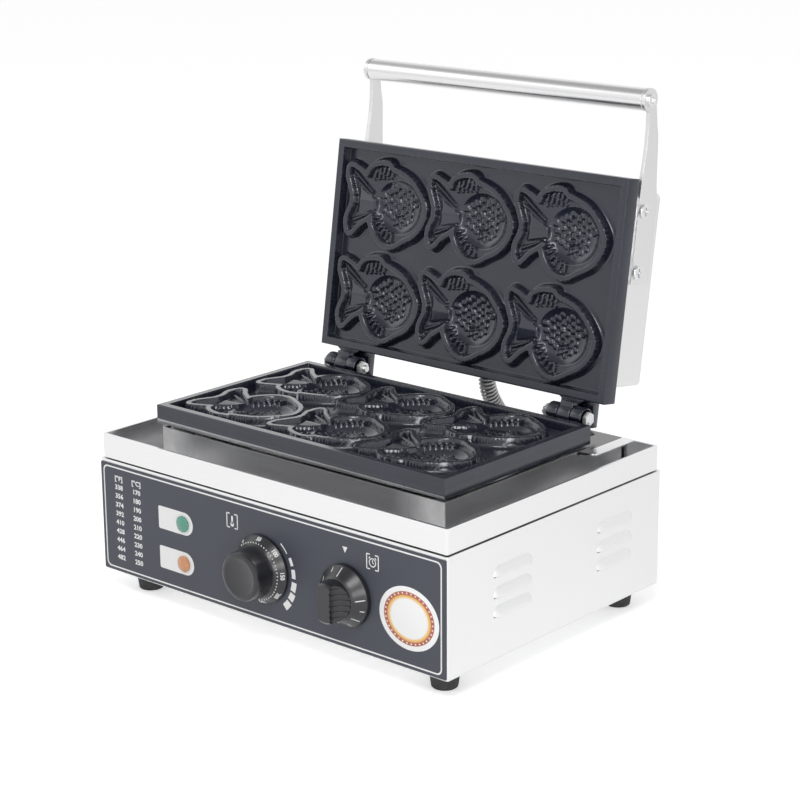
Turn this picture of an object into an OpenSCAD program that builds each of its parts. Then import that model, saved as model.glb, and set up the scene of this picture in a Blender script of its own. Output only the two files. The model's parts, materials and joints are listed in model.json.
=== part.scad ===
// Countertop fish cake cooker with a hinged lid.
// The lid is drawn open, leaning back on its stops. +Z is up and the dials face -Y.

/* [Box] */
// Width of the sheet metal box
box_w = 380; // [360:1:420]
// Depth of the sheet metal box
box_d = 272.6; // [265:0.1:300]
// Height of the box without its feet
box_h = 98.1; // [90:0.1:130]
// Thickness of the sheet metal
sheet = 1.2; // [0.8:0.1:1.6]
// Outer radius of the folded corners of the box and the tray
fold_r = 1.7; // [1.5:0.1:2.5]
// Height of a rubber foot
foot_h = 19.6; // [12:0.1:30]
// Thickness of the front overlay
panel_t = 0.8; // [0.5:0.1:1.5]

/* [Tray] */
// Height of the tray's rim above the box
tray_h = 21.3; // [15:0.1:30]
// Gap between the tray's edge and the box, side to side
tray_inset = 1.7; // [1:0.1:5]
// Height of the upstand's edge above the box
plinth_h = 24.9; // [20:0.1:35]
// Gap between the upstand and the lower plate
plinth_gap = 3.7; // [2:0.1:8]

/* [Mould plates] */
// Width of both plates
plate_w = 314; // [300:1:330]
// Depth of both plates, from back edge to front edge
plate_l = 184; // [180:1:190]
// Thickness of a plate
plate_t = 16; // [15:0.5:20]
// Depth of the recess inside the rim
recess = 8.5; // [6:0.5:10]
// Width of the rim
rim_w = 7; // [5:0.5:9]
// Width of the lip round a fish
lip_w = 5.5; // [4:0.5:6]
// Depth of a fish at its fins
fin_depth = 5.5; // [4:0.5:6]
// Depth of a fish at its belly
belly_depth = 11.5; // [9:0.5:12]

/* [Lid] */
// Angle at which the open lid leans back
lid_lean = 8.69; // [5:0.01:15]
// Gap left between the closed plates
face_gap = 0.3; // [0.2:0.1:1]
// Depth of the cover behind the upper plate
cover_d = 46; // [40:1:60]
// Distance from the plate's top edge to the handle bar
bar_rise = 63; // [50:1:80]
// Diameter of the handle bar
bar_dia = 18.5; // [15:0.5:22]

/* [Dials] */
// Radius of the thermostat dial's skirt
dial_r = 28.2; // [26:0.1:32]
// Length of the thermostat dial
dial_l = 26.6; // [20:0.1:30]
// Radius of the timer dial's skirt
timer_r = 25.2; // [24:0.1:30]
// Length of the timer dial
timer_l = 26; // [20:0.1:28]

/* [Conduit] */
// Outer diameter of the spring
conduit_dia = 15.4; // [14:0.2:17]
// Diameter of the spring's wire
wire_dia = 2.4; // [2:0.1:3]
// Distance from curl to curl
curl_pitch = 4.2; // [4:0.1:5]

/* [Hidden] */
$fn = 48;
tiny = 0.01;

// Colours
steel = [0.83, 0.83, 0.84];
cast = [0.24, 0.24, 0.27];
overlay = [0.3, 0.31, 0.35];
black = [0.1, 0.1, 0.11];
knob_black = [0.18, 0.18, 0.19];

// Heights of the box and tray
box_bottom = foot_h;
box_top = foot_h + box_h;
tray_top = box_top + tray_h;
tray_floor = box_top + sheet;
plinth_top = box_top + plinth_h;
plate_bottom = plinth_top + plinth_gap;
plate_face = plate_bottom + plate_t;

// Hinge axis, which runs along X
hinge_y = 97.4;
rim_above = 1;
hinge_z = plate_face - rim_above;
hinge_back = 14.2;

// Hinge lugs, measured along X from the middle of the cooker
lug_in = 106.5;
lug_out = 142;
lug_t = 11;
lug_r = 9.2;
lug_gap = 0.4;
bolt_r = 3.2;
bolt_bore = bolt_r + 0.05;
bolt_head_r = 6.3;
bolt_head = 4;
nut_t = 5;
stop_drop = 9.2;
stop_w = (lug_r + face_gap + stop_drop * sin(lid_lean)) / cos(lid_lean);
stop_t = 8;

// Upper plate, cover and handle in the lid's own frame: x, w away from the rim face, v up the plate
upper_t = 15;
cover_x = 148;
cover_low = 10;
cover_high = 171.5;
arm_t = 3;
arm_w = 28;
arm_low = 97;
arm_head_r = 9.6;
bar_v = plate_l + bar_rise;
bar_w = 27.4;
arm_screw_v = [106.7, 157];
arm_screw_w = 33.5;
arm_screw_hole = 2.6;
end_screw_r = 3;
cover_post_x = 100;
cover_post_v = [40, 145];

// Control panel, measured from the middle of the box and from the ground
dial_x = 0;
timer_x = 89.8;
dials_z = 64.2;
lamp_x = -90.5;
lamps_z = [81.1, 46.5];
lamp_front_r = 6.8;
lamp_rim = 0.7;
lamp_r = 6;
lamp_hole = lamp_r + 0.1;
lens_r = 5.1;
panel_size = [378.4, 94.7];
panel_mid = [0, 67.9];
panel_corner = 1;
shaft_r = 3;
shaft_bore = shaft_r + 0.05;
shaft_in = 24;
knob_hold = 12.5;

// Louvres
louvre_y = [-59, 73];
louvre_z = [59.6, 75.1, 91.8];
louvre_l = 55;
louvre_h = 9.5;
louvre_out = 3.4;
louvre_r = louvre_h * 1.25;

// Feet
foot_x = box_w / 2 - 26.2;
foot_y = [-box_d / 2 + 27.9, box_d / 2 - 20];
seat_r = 5.6;
seat_h = 9;
foot_bore = 2.6;

// Screws of the bottom plate
bottom_screw_x = [-135, 0, 135];
bottom_screw_y = [-box_d / 2 + 8, box_d / 2 - 8];

// Upstand and the deck behind the lower plate
plinth_x = 155;
plinth_front = -98;
plinth_rear = 131;
deck_front = hinge_y - hinge_back + 3;
flange_front = 74;
flange_w = 12.5;
deck_drop = 2.4;
post_x = 138;
post_y = [-82, 68];

// Heating elements and the sensor bulb
heater_r = 4;
heater_pitch = 44;
heater_reach = 118;
heater_y = hinge_y - hinge_back - plate_l / 2;
heater_lead = 14;
lead_hole = heater_r + 0.6;
bulb_r = 3;
bulb_l = 90;

// Screws that hold the thermostat and the timer, each side of the shaft
dial_screw_x = 14;
dial_screw_r = 1.95;
dial_screw_hole = 2.1;
dial_gap = 0.3;

// Cable glands: the mains one, and one at each end of the conduit
gland_out = 7;
gland_bore = 3;
mains_bore = 5;
mains_x = -120;
mains_z = 44;
lid_gland_w = 45;
base_end = [12, box_d / 2 + gland_out, 66];
cable_r = 3.4;
cable_gap = 0.2;

// The cooker's box is drawn about its own middle and moved so that the whole cooker is centred
front_reach = box_d / 2 + panel_t + dial_gap + dial_l;
rear_reach = hinge_y + (hinge_back + cover_high) * sin(lid_lean)
    + (rim_above + face_gap + upper_t + cover_d) * cos(lid_lean);
shift_y = (front_reach - rear_reach) / 2;

// Middle of each fish: x, and distance from the plate's back edge
fish_x = [-94.6, 0, 95.5];
fish_v = [49, 132.5];

// Scoop that hollows the belly, and the ribs on the fins
scoop_r = 42;
scoop_at = [9, -2];
rib_h = 1.8;
lip_drop = 0.4;

// A fish from above, nose at +x and back at +y, with its middle at the origin
fish_points = [
    [-45, 28], [-34, 24.5], [-25.5, 21], [-22, 27.5], [-14, 32], [-3, 33], [3, 28.5], [11, 26.5],
    [23, 21.5], [34, 11.5], [41, 0], [38.5, -12], [30, -22], [20, -27.5], [7.5, -34], [-3, -32.5],
    [-11, -26], [-16.5, -17], [-16.5, -9.5], [-23, -13], [-32.5, -19.5], [-42, -28], [-44.5, -17.5],
    [-40, -6], [-39.5, 3.5], [-43.5, 13.5], [-46.5, 21]
];

// Helpers

// Moves what is drawn about the middle of the box to the cooker's own frame
module placed() {
    translate([0, shift_y, 0]) children();
}

// Turns and moves what is drawn in the lid's frame, whose origin is on the hinge axis
module on_lid() {
    placed() translate([0, hinge_y, hinge_z]) rotate([-lid_lean, 0, 0])
        translate([0, rim_above + face_gap, hinge_back]) children();
}

// Lays a cylinder along X, from x0 to x1
module along_x(r, x0, x1) {
    translate([x0, 0, 0]) rotate([0, 90, 0]) cylinder(r = r, h = x1 - x0);
}

// Lays a cylinder along Y, from y0 to y1
module along_y(r, y0, y1) {
    translate([0, y0, 0]) rotate([-90, 0, 0]) cylinder(r = r, h = y1 - y0);
}

// A block given by its lowest and highest corners
module block(low, high) {
    translate(low) cube(high - low);
}

// A rectangle with round corners, about its own middle
module rounded(size, r) {
    square([size.x - 2 * r, size.y], center = true);
    square([size.x, size.y - 2 * r], center = true);
    for (sx = [-1, 1], sy = [-1, 1])
        translate([sx * (size.x / 2 - r), sy * (size.y / 2 - r)]) circle(r);
}

// An upright ring wall between two heights
module ring_wall(size, r, t, z0, z1) {
    translate([0, 0, z0]) linear_extrude(z1 - z0) difference() {
        rounded(size, r);
        rounded([size.x - 2 * t, size.y - 2 * t], r - t / 2);
    }
}

// Four copies at the corners of a rectangle
module at_corners(x, ys) {
    for (sx = [-1, 1], y = ys) translate([sx * x, y, 0]) children();
}

// A smooth closed curve through the points, k steps from each point to the next
function between(a, b, c, d, t) =
    0.5 * ((2 * b) + (c - a) * t + (2 * a - 5 * b + 4 * c - d) * t * t
    + (3 * b - a - 3 * c + d) * t * t * t);
function closed_curve(p, k) = let (n = len(p)) [
    for (i = [0:n - 1], j = [0:k - 1])
        between(p[(i + n - 1) % n], p[i], p[(i + 1) % n], p[(i + 2) % n], j / k)
];
function open_curve(p, k) = let (n = len(p)) concat([
    for (i = [0:n - 2], j = [0:k - 1])
        between(i == 0 ? 2 * p[0] - p[1] : p[i - 1], p[i], p[i + 1],
            i == n - 2 ? 2 * p[n - 1] - p[n - 2] : p[i + 2], j / k)
], [p[n - 1]]);
function unit(v) = v / norm(v);

// Box

// A pressed louvre on the right side: part of a pill, its axis sunk behind the wall and open below
module louvre_pill(r) {
    end = louvre_l / 2 - louvre_r;
    translate([louvre_out - louvre_r, 0, 0]) {
        along_y(r, -end, end);
        for (s = [-1, 1]) translate([0, s * end, 0]) sphere(r);
    }
}

module louvre_hood() {
    intersection() {
        louvre_pill(louvre_r);
        block([-sheet, -louvre_l / 2, 0], [louvre_out, louvre_l / 2, louvre_h]);
    }
}

module louvre_hollow() {
    intersection() {
        louvre_pill(louvre_r - 0.9);
        block([-sheet - 1, -louvre_l / 2, -1], [louvre_out, louvre_l / 2, louvre_h]);
    }
}

module at_louvres() {
    for (side = [0, 1], y = louvre_y, z = louvre_z)
        mirror([side, 0, 0]) translate([box_w / 2, y, z - louvre_h / 2]) children();
}

// Holes of the dials, their screws and the lamps, from y0 to y1
module front_holes(y0, y1) {
    for (x = [dial_x, timer_x]) translate([x, 0, dials_z]) {
        along_y(5, y0, y1);
        for (s = [-1, 1]) translate([dial_screw_x * s, 0, 0]) along_y(dial_screw_hole, y0, y1);
    }
    for (z = lamps_z) translate([lamp_x, 0, z]) along_y(lamp_hole, y0, y1);
}

module housing() {
    wall = [box_w, box_d];
    inner = [box_w - 2 * sheet, box_d - 2 * sheet];
    flange = [inner.x - 24, inner.y - 24];
    color(steel) placed() difference() {
        union() {
            difference() {
                translate([0, 0, box_bottom]) linear_extrude(box_h) rounded(wall, fold_r);
                translate([0, 0, box_bottom - 1]) linear_extrude(box_h + 1 - sheet)
                    rounded(inner, fold_r - 0.6);
            }
            translate([0, 0, box_bottom + sheet]) linear_extrude(sheet) difference() {
                rounded(inner, fold_r - 0.6);
                square(flange, center = true);
            }
            at_louvres() louvre_hood();
        }
        at_louvres() louvre_hollow();
        front_holes(-box_d / 2 - 1, -box_d / 2 + 2);
        translate([base_end.x, 0, base_end.z]) along_y(gland_bore + 2, box_d / 2 - 2, box_d / 2 + 1);
        translate([mains_x, 0, mains_z]) along_y(mains_bore + 2, box_d / 2 - 2, box_d / 2 + 1);
        heater_leads(lead_hole, box_top - 5);
        for (x = bottom_screw_x, y = bottom_screw_y)
            translate([x, y, box_bottom]) cylinder(r = 1.8, h = 4);
    }
}

module bottom_plate() {
    size = [box_w - 2 * sheet - 0.4, box_d - 2 * sheet - 0.4];
    color(steel) placed() difference() {
        translate([0, 0, box_bottom]) linear_extrude(sheet) rounded(size, 1.8);
        at_corners(foot_x, foot_y) translate([0, 0, box_bottom - 1]) cylinder(r = foot_bore, h = 4);
        for (x = bottom_screw_x, y = bottom_screw_y)
            translate([x, y, box_bottom - 1]) cylinder(r = 2.1, h = 4);
        for (i = [-4:4]) translate([i * 16, 30, box_bottom - 1]) linear_extrude(4)
            rounded([4, 60], 1.9);
    }
}

module bottom_screws() {
    color("silver") placed() for (x = bottom_screw_x, y = bottom_screw_y)
        translate([x, y, box_bottom]) {
            mirror([0, 0, 1]) cylinder(r1 = 3.6, r2 = 2.6, h = 2);
            cylinder(r = 1.75, h = 6);
        }
}

module control_panel() {
    color(overlay) placed() difference() {
        translate([panel_mid.x, -box_d / 2, panel_mid.y]) rotate([90, 0, 0])
            linear_extrude(panel_t) rounded(panel_size, panel_corner);
        front_holes(-box_d / 2 - 2, -box_d / 2 + 1);
    }
}

// Rubber foot with a sunk seat for its screw
module foot(sx, y) {
    color(black) placed() translate([sx * foot_x, y, 0]) rotate_extrude() polygon([
        [seat_r, 0], [9.6, 0], [10.5, 0.9], [12.6, foot_h - 4], [15, foot_h - 2.4], [15, foot_h],
        [foot_bore, foot_h], [foot_bore, seat_h], [seat_r, seat_h]
    ]);
}

module foot_screws() {
    color("silver") placed() at_corners(foot_x, foot_y) {
        translate([0, 0, seat_h - 3.2]) cylinder(r = seat_r - 1, h = 3.2);
        translate([0, 0, seat_h]) cylinder(r = foot_bore - 0.1, h = foot_h - seat_h + 5);
        translate([0, 0, box_bottom + sheet]) cylinder(r = 4.7, h = 4, $fn = 6);
    }
}

// Tray and upstand

module drip_tray() {
    size = [box_w - 2 * tray_inset, box_d - 2 * tray_inset];
    step = 2.2;
    color(steel) placed() {
        difference() {
            union() {
                translate([0, 0, box_top]) linear_extrude(sheet)
                    rounded([size.x - 2 * step, size.y - 2 * step], 3);
                translate([0, 0, box_top + 0.8]) linear_extrude(tray_h - 0.8) rounded(size, fold_r);
            }
            translate([0, 0, tray_floor]) linear_extrude(tray_h)
                rounded([size.x - 2 * sheet, size.y - 2 * sheet], fold_r - 0.6);
            heater_leads(lead_hole, box_top - 5);
        }
        // rolled edge inside the rim
        ring_wall([size.x - 2 * sheet, size.y - 2 * sheet], fold_r - 0.6, 1.1, tray_top - 2.4, tray_top);
    }
}

module plinth() {
    inner_gap = 3.4;
    size = [2 * plinth_x, plinth_rear - plinth_front];
    mid_y = (plinth_rear + plinth_front) / 2;
    inset = 2 * (sheet + inner_gap);
    deck_z = plinth_top - deck_drop;
    color([0.68, 0.68, 0.69]) placed() {
        difference() {
            translate([0, mid_y, 0]) {
                ring_wall(size, 2, sheet, tray_floor, plinth_top);
                ring_wall([size.x - inset, size.y - inset], 2, sheet, tray_floor, plinth_top - 1.2);
            }
            block([-plinth_x - 1, deck_front, deck_z - tiny], [plinth_x + 1, plinth_rear + 1, plinth_top + 1]);
        }
        translate([0, mid_y, tray_floor]) linear_extrude(sheet) difference() {
            rounded([size.x - 1, size.y - 1], 2);
            square([size.x - 2 * inset, size.y - 2 * inset], center = true);
        }
        // deck behind the lower plate
        block([-plinth_x + 1, deck_front, deck_z - sheet], [plinth_x - 1, plinth_rear - 1, deck_z]);
        // flange along each side at the rear, with a slanted front end
        for (side = [0, 1]) mirror([side, 0, 0]) translate([plinth_x - 1, 0, deck_z - sheet])
            linear_extrude(sheet) polygon([
                [0, flange_front], [3, flange_front], [flange_w + 1, flange_front + 6],
                [flange_w + 1, plinth_rear - 1], [0, plinth_rear - 1]
            ]);
    }
}

module plate_posts() {
    color("silver") placed() at_corners(post_x, post_y)
        translate([0, 0, tray_floor]) cylinder(r = 5.2, h = plate_bottom - tray_floor, $fn = 6);
}

// Mould plates, drawn face up: x, v away from the back edge, and height below the rim's face

module fish_outline(grow) {
    offset(r = grow, $fn = 20) polygon(closed_curve(fish_points, 3));
}

module all_fish(grow) {
    for (x = fish_x, v = fish_v) translate([x, v]) fish_outline(grow);
}

// Ribs of the back fin, belly fin and tail, seen from above
module fin_ribs() {
    for (i = [0:4]) translate([-17.5 + 4 * i, 21.5 + 0.8 * i]) rotate(8 - 4 * i)
        square([1.5, 11]);
    for (i = [0:4]) translate([-13 + 5.2 * i, -17 - 3.4 * i]) rotate(-150 + 3 * i)
        square([1.6, 10]);
    for (i = [0:3]) translate([-20, 8 - 5 * i]) rotate(62 + 20 * i)
        square([1.6, 24]);
}

module fish_relief() {
    for (x = fish_x, v = fish_v) translate([x, v]) difference() {
        polygon(closed_curve(fish_points, 3));
        fin_ribs();
    }
}

module mould_plate(t) {
    difference() {
        union() {
            difference() {
                translate([-plate_w / 2, 0, -t]) cube([plate_w, plate_l, t]);
                translate([-plate_w / 2 + rim_w, rim_w, -recess])
                    cube([plate_w - 2 * rim_w, plate_l - 2 * rim_w, recess + 1]);
            }
            translate([0, 0, -recess - tiny]) linear_extrude(recess + tiny - lip_drop)
                all_fish(lip_w);
        }
        translate([0, 0, rib_h - fin_depth]) linear_extrude(fin_depth) all_fish(0);
        translate([0, 0, -fin_depth]) linear_extrude(rib_h + tiny) offset(delta = -0.1) fish_relief();
        for (x = fish_x, v = fish_v)
            translate([x + scoop_at.x, v + scoop_at.y, scoop_r - belly_depth]) sphere(scoop_r);
    }
    for (x = fish_x, v = fish_v) translate([x, v, 0]) scales();
}

// Rows of scales, gill and eye standing on the hollow belly
module scales() {
    for (row = [0:3], i = [0:2]) {
        px = -6 + 6 * row;
        py = -10 + 7 * i + (row % 2) * 3.5;
        on_scoop(px, py) sphere(2.2, $fn = 24);
    }
    on_scoop(27, 3) sphere(2.4, $fn = 24);
}

function scoop_depth(x, y) =
    let (d = norm([x, y] - scoop_at)) scoop_r - belly_depth - sqrt(scoop_r * scoop_r - d * d);

module on_scoop(x, y) {
    translate([x, y, scoop_depth(x, y) - 0.9]) children();
}

// Lower plate: two lugs at each hinge, with a square back that the lid's stop meets
module lower_lug(x0) {
    along_x(lug_r, x0, x0 + lug_t);
    block([x0, 0, plate_bottom - hinge_z], [x0 + lug_t, lug_r, 0]);
    block([x0, -hinge_back - 3, plate_bottom - hinge_z], [x0 + lug_t, 0, rim_above - 1.4]);
}

module lower_plate() {
    color(cast) placed() difference() {
        union() {
            translate([0, hinge_y - hinge_back, plate_face]) mirror([0, 1, 0]) mould_plate(plate_t);
            translate([0, hinge_y, hinge_z]) for (side = [0, 1]) mirror([side, 0, 0]) {
                lower_lug(lug_in);
                lower_lug(lug_out - lug_t);
            }
        }
        for (side = [0, 1]) mirror([side, 0, 0]) translate([0, hinge_y, hinge_z])
            along_x(bolt_bore, lug_in - 1, lug_out + 1);
    }
}

// Upper plate: one lug between the lower pair, and a block behind them that stops the lid
module upper_plate() {
    lug0 = lug_in + lug_t + lug_gap;
    lug1 = lug_out - lug_t - lug_gap;
    low = -hinge_back;
    deep = -(rim_above + face_gap);
    color(cast) on_lid() difference() {
        union() {
            rotate([90, 0, 0]) mould_plate(upper_t);
            for (side = [0, 1]) mirror([side, 0, 0]) {
                translate([0, deep, low]) along_x(lug_r, lug0, lug1);
                block([lug0, -5 + deep, low], [lug1, stop_w + deep + 1, -2]);
                block([lug0, 0.6, low], [lug1, stop_w + deep + 1, 1]);
                block([lug_in, stop_w + deep, low - stop_drop],
                    [lug_out - 1.2, stop_w + stop_t + deep, 7]);
            }
        }
        for (side = [0, 1]) mirror([side, 0, 0]) translate([0, deep, low])
            along_x(bolt_bore, lug0 - 1, lug1 + 1);
    }
}

module hinge_bolt(side) {
    color("silver") placed() mirror([side, 0, 0]) translate([0, hinge_y, hinge_z]) {
        along_x(bolt_r, lug_in - nut_t - 3, lug_out + tiny);
        translate([lug_out, 0, 0]) rotate([0, 90, 0]) cylinder(r = bolt_head_r, h = bolt_head, $fn = 6);
    }
}

module hinge_nut(side) {
    color("silver") placed() mirror([side, 0, 0]) translate([0, hinge_y, hinge_z]) difference() {
        translate([lug_in - nut_t, 0, 0]) rotate([0, 90, 0]) cylinder(r = bolt_head_r, h = nut_t, $fn = 6);
        along_x(bolt_bore, lug_in - nut_t - 1, lug_in + 1);
    }
}

// Tubular heating element: straight runs along X joined by half turns
module heater_element(lead) {
    for (i = [-1.5:1.5]) translate([0, i * heater_pitch, 0])
        along_x(heater_r, -heater_reach, heater_reach);
    for (i = [-1:1]) translate([(i == 0 ? -1 : 1) * heater_reach, i * heater_pitch, 0])
        rotate([0, 0, i == 0 ? 90 : -90]) rotate_extrude(angle = 180)
            translate([heater_pitch / 2, 0]) circle(heater_r);
    for (i = [-1.5, 1.5]) translate([-heater_reach, i * heater_pitch, 0]) {
        sphere(heater_r);
        mirror([0, 0, 1]) cylinder(r = heater_r, h = lead);
    }
}

// The leads of the lower element, which pass down through the tray and the top of the box
module heater_leads(r, low) {
    for (i = [-1.5, 1.5]) translate([-heater_reach, heater_y + i * heater_pitch, low])
        cylinder(r = r, h = tray_floor + 5 - low);
}

module lower_heater() {
    color([0.35, 0.32, 0.3]) placed()
        translate([0, heater_y, plate_bottom - heater_r])
        heater_element(plate_bottom - heater_r - box_top + heater_lead);
}

module upper_heater() {
    color([0.35, 0.32, 0.3]) on_lid() translate([0, upper_t + heater_r, plate_l / 2])
        rotate([90, 0, 0]) heater_element(heater_lead);
}

module sensor_bulb() {
    color([0.72, 0.45, 0.3]) placed()
        translate([0, heater_y, plate_bottom - bulb_r]) {
            along_x(bulb_r, -bulb_l / 2, bulb_l / 2);
            for (s = [-1, 1]) translate([s * bulb_l / 2, 0, 0]) sphere(bulb_r);
        }
}

// Lamps: a barrel with a thin rim on the panel and a nut behind it, and a lens in front

module lamp_body(z) {
    color([0.85, 0.85, 0.85]) placed() translate([lamp_x, -box_d / 2 - panel_t, z])
        rotate([90, 0, 0]) difference() {
            union() {
                cylinder(r = lamp_front_r - 0.4, h = lamp_rim);
                translate([0, 0, -24]) cylinder(r = lamp_r, h = 24.5);
                translate([0, 0, -panel_t - sheet - 3]) cylinder(r = lamp_r + 2, h = 3, $fn = 6);
            }
            translate([0, 0, -12]) cylinder(r = lens_r + 0.1, h = 15);
        }
}

module lamp_lens(z, tint) {
    color(tint) placed() translate([lamp_x, -box_d / 2 - panel_t, z]) rotate([90, 0, 0]) {
        translate([0, 0, -11]) cylinder(r = lens_r, h = 12);
        translate([0, 0, lamp_rim]) cylinder(r = lamp_front_r, h = 1.1);
        translate([0, 0, lamp_rim]) intersection() {
            cylinder(r = lamp_front_r, h = 4);
            translate([0, 0, -10.6]) sphere(13.5);
        }
    }
}

// Dials, drawn along +Z and turned to face the front

module facing_front(x) {
    placed() translate([x, -box_d / 2 - panel_t - dial_gap, dials_z]) rotate([90, 0, 0]) children();
}

module knob_bore() {
    translate([0, 0, -1]) cylinder(r = shaft_r, h = knob_hold + 1.5);
}

// Hollow under a dial's skirt, round its hub, that clears the screw heads
module skirt_hollow() {
    translate([0, 0, -1]) difference() {
        cylinder(r = 18.5, h = 4);
        cylinder(r = 7, h = 5);
    }
}

module thermostat_knob() {
    color(knob_black) facing_front(dial_x) difference() {
        rotate_extrude() polygon([
            [0, 0], [dial_r, 0], [dial_r, 2.4], [dial_r - 0.6, 3.2], [22.4, 9], [21.8, 9.8],
            [21.2, 11], [20, dial_l - 2.2], [19.4, dial_l - 0.8], [18, dial_l], [15.4, dial_l],
            [14, dial_l - 0.6], [0, dial_l - 0.6]
        ]);
        skirt_hollow();
        knob_bore();
    }
}

module timer_knob() {
    scoop = 11.4;
    rib_step = 4.6;
    rib_cut = 2.6;
    half = 6.5;
    base = 14.2;
    color(knob_black) facing_front(timer_x) difference() {
        rotate_extrude() polygon([
            [0, 0], [timer_r, 0], [timer_r - 0.3, 3.6], [timer_r - 1.1, 4.4], [17.4, 12.4], [16.5, 13],
            [16.3, timer_l - 1.6], [14.7, timer_l], [0, timer_l]
        ]);
        for (side = [0, 1]) mirror([side, 0, 0]) {
            translate([half + scoop, 0, base + scoop]) along_y(scoop, -20, 20);
            for (i = [-3:3]) translate([half + scoop, i * rib_step, base + scoop])
                along_y(scoop + 0.7, -rib_cut / 2, rib_cut / 2);
            block([half, -20, base + scoop], [20, 20, timer_l + 1]);
        }
        skirt_hollow();
        knob_bore();
    }
}

module dial_shaft(x) {
    color("silver") facing_front(x)
        translate([0, 0, -shaft_in]) cylinder(r = shaft_r, h = shaft_in + knob_hold);
}

module thermostat_body() {
    color([0.75, 0.75, 0.72]) facing_front(dial_x)
        translate([0, 0, -dial_gap - panel_t - sheet]) difference() {
            union() {
                translate([0, 0, -1.5]) linear_extrude(1.5) rounded([36, 14], 3);
                translate([0, 0, -9]) cylinder(r = 9, h = 8);
                translate([0, 0, -32]) cylinder(r = 18, h = 24);
            }
            translate([0, 0, -30]) cylinder(r = shaft_bore, h = 32);
            for (s = [-1, 1]) translate([dial_screw_x * s, 0, -3]) cylinder(r = dial_screw_r, h = 5);
        }
}

module timer_body() {
    color([0.8, 0.78, 0.7]) facing_front(timer_x)
        translate([0, 0, -dial_gap - panel_t - sheet]) difference() {
            union() {
                translate([0, 0, -1.5]) linear_extrude(1.5) rounded([36, 14], 3);
                translate([-20, -20, -28]) cube([40, 40, 27]);
            }
            translate([0, 0, -30]) cylinder(r = shaft_bore, h = 32);
            for (s = [-1, 1]) translate([dial_screw_x * s, 0, -6]) cylinder(r = dial_screw_r, h = 8);
        }
}

module dial_screws() {
    color("silver") for (x = [dial_x, timer_x], s = [-1, 1]) facing_front(x)
        translate([dial_screw_x * s, 0, -dial_gap]) {
            cylinder(r = 3.4, h = 1.6);
            translate([0, 0, -5]) cylinder(r = dial_screw_r, h = 5.1);
        }
}

// Inside the box

module terminal_block() {
    color([0.9, 0.9, 0.86]) placed() translate([-96, 96, box_bottom + sheet]) difference() {
        translate([-30, -11, 0]) cube([60, 22, 18]);
        for (i = [-2:2]) translate([i * 11, 0, 6]) {
            translate([0, -5, 0]) cylinder(r = 2.4, h = 20);
            translate([0, 5, 0]) cylinder(r = 2.4, h = 20);
        }
        for (i = [-2:1]) translate([(i + 0.5) * 11 - 0.6, -12, 13]) cube([1.2, 24, 6]);
    }
}

// A cable gland: hexagon and cap outside the wall, threaded body through it and nut inside
module gland(r_bore) {
    difference() {
        union() {
            cylinder(r = 10.5, h = 4, $fn = 6);
            translate([0, 0, 3.9]) cylinder(r1 = 8.9, r2 = 8.2, h = gland_out - 3.9);
            translate([0, 0, -6]) cylinder(r = r_bore + 2, h = 7);
            translate([0, 0, -sheet - 3.4]) cylinder(r = 9.4, h = 3.4, $fn = 6);
        }
        translate([0, 0, -7]) cylinder(r = r_bore, h = gland_out + 8);
    }
}

module mains_gland() {
    color(black) placed() translate([mains_x, box_d / 2, mains_z]) rotate([-90, 0, 0])
        gland(mains_bore);
}

// Lid

module lid_cover() {
    r = 5;
    size = [2 * cover_x, cover_high - cover_low];
    mid_v = (cover_high + cover_low) / 2;
    color(steel) on_lid() difference() {
        translate([0, upper_t, mid_v]) rotate([-90, 0, 0]) linear_extrude(cover_d) rounded(size, r);
        translate([0, upper_t - 1, mid_v]) rotate([-90, 0, 0]) linear_extrude(cover_d + 1 - sheet)
            rounded([size.x - 2 * sheet, size.y - 2 * sheet], r - sheet);
        translate([0, lid_gland_w, cover_low]) cylinder(r = gland_bore + 2, h = 10, center = true);
        for (sx = [-1, 1], v = cover_post_v) translate([sx * cover_post_x, 0, v])
            along_y(2.6, upper_t + cover_d - 3, upper_t + cover_d + 1);
        for (v = arm_screw_v) translate([0, arm_screw_w, v])
            along_x(arm_screw_hole, -cover_x - 1, cover_x + 1);
    }
}

module cover_posts() {
    color("silver") on_lid() for (sx = [-1, 1], v = cover_post_v)
        translate([sx * cover_post_x, 0, v]) difference() {
            along_y(5.5, upper_t, upper_t + cover_d - sheet);
            along_y(2.5, upper_t + cover_d - 14, upper_t + cover_d);
        }
}

module cover_screws() {
    color("silver") on_lid() for (sx = [-1, 1], v = cover_post_v)
        translate([sx * cover_post_x, upper_t + cover_d, v]) rotate([-90, 0, 0])
            domed_screw(4.8, 2.8, 2.45, 12);
}

// Flat arm: a strip along the cover's side that narrows to a neck under its round head
module arm_outline() {
    neck_v = bar_v - 4;
    difference() {
        union() {
            translate([bar_w, bar_v]) circle(arm_head_r);
            polygon([
                [arm_w, arm_low], [arm_w + 24, arm_low], [arm_w + 24, cover_high - 6],
                [arm_w + 21.4, cover_high + 6], [arm_w + 19, cover_high + 22], [arm_w + 17.4, cover_high + 35],
                [bar_w + 16.2, cover_high + 47], [bar_w + 13, cover_high + 57], [bar_w + 9.2, neck_v],
                [bar_w - 0.8, neck_v], [bar_w + 1.4, cover_high + 56], [bar_w + 2.2, cover_high + 38],
                [bar_w + 1.4, cover_high + 24], [arm_w - 0.2, cover_high + 10]
            ]);
        }
        translate([bar_w, bar_v]) circle(end_screw_r + 0.1);
        for (v = arm_screw_v) translate([arm_screw_w, v]) circle(arm_screw_hole);
    }
}

module handle_arm(side) {
    color(steel) on_lid() mirror([side, 0, 0]) translate([cover_x, 0, 0])
        rotate([90, 0, 90]) linear_extrude(arm_t) arm_outline();
}

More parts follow.
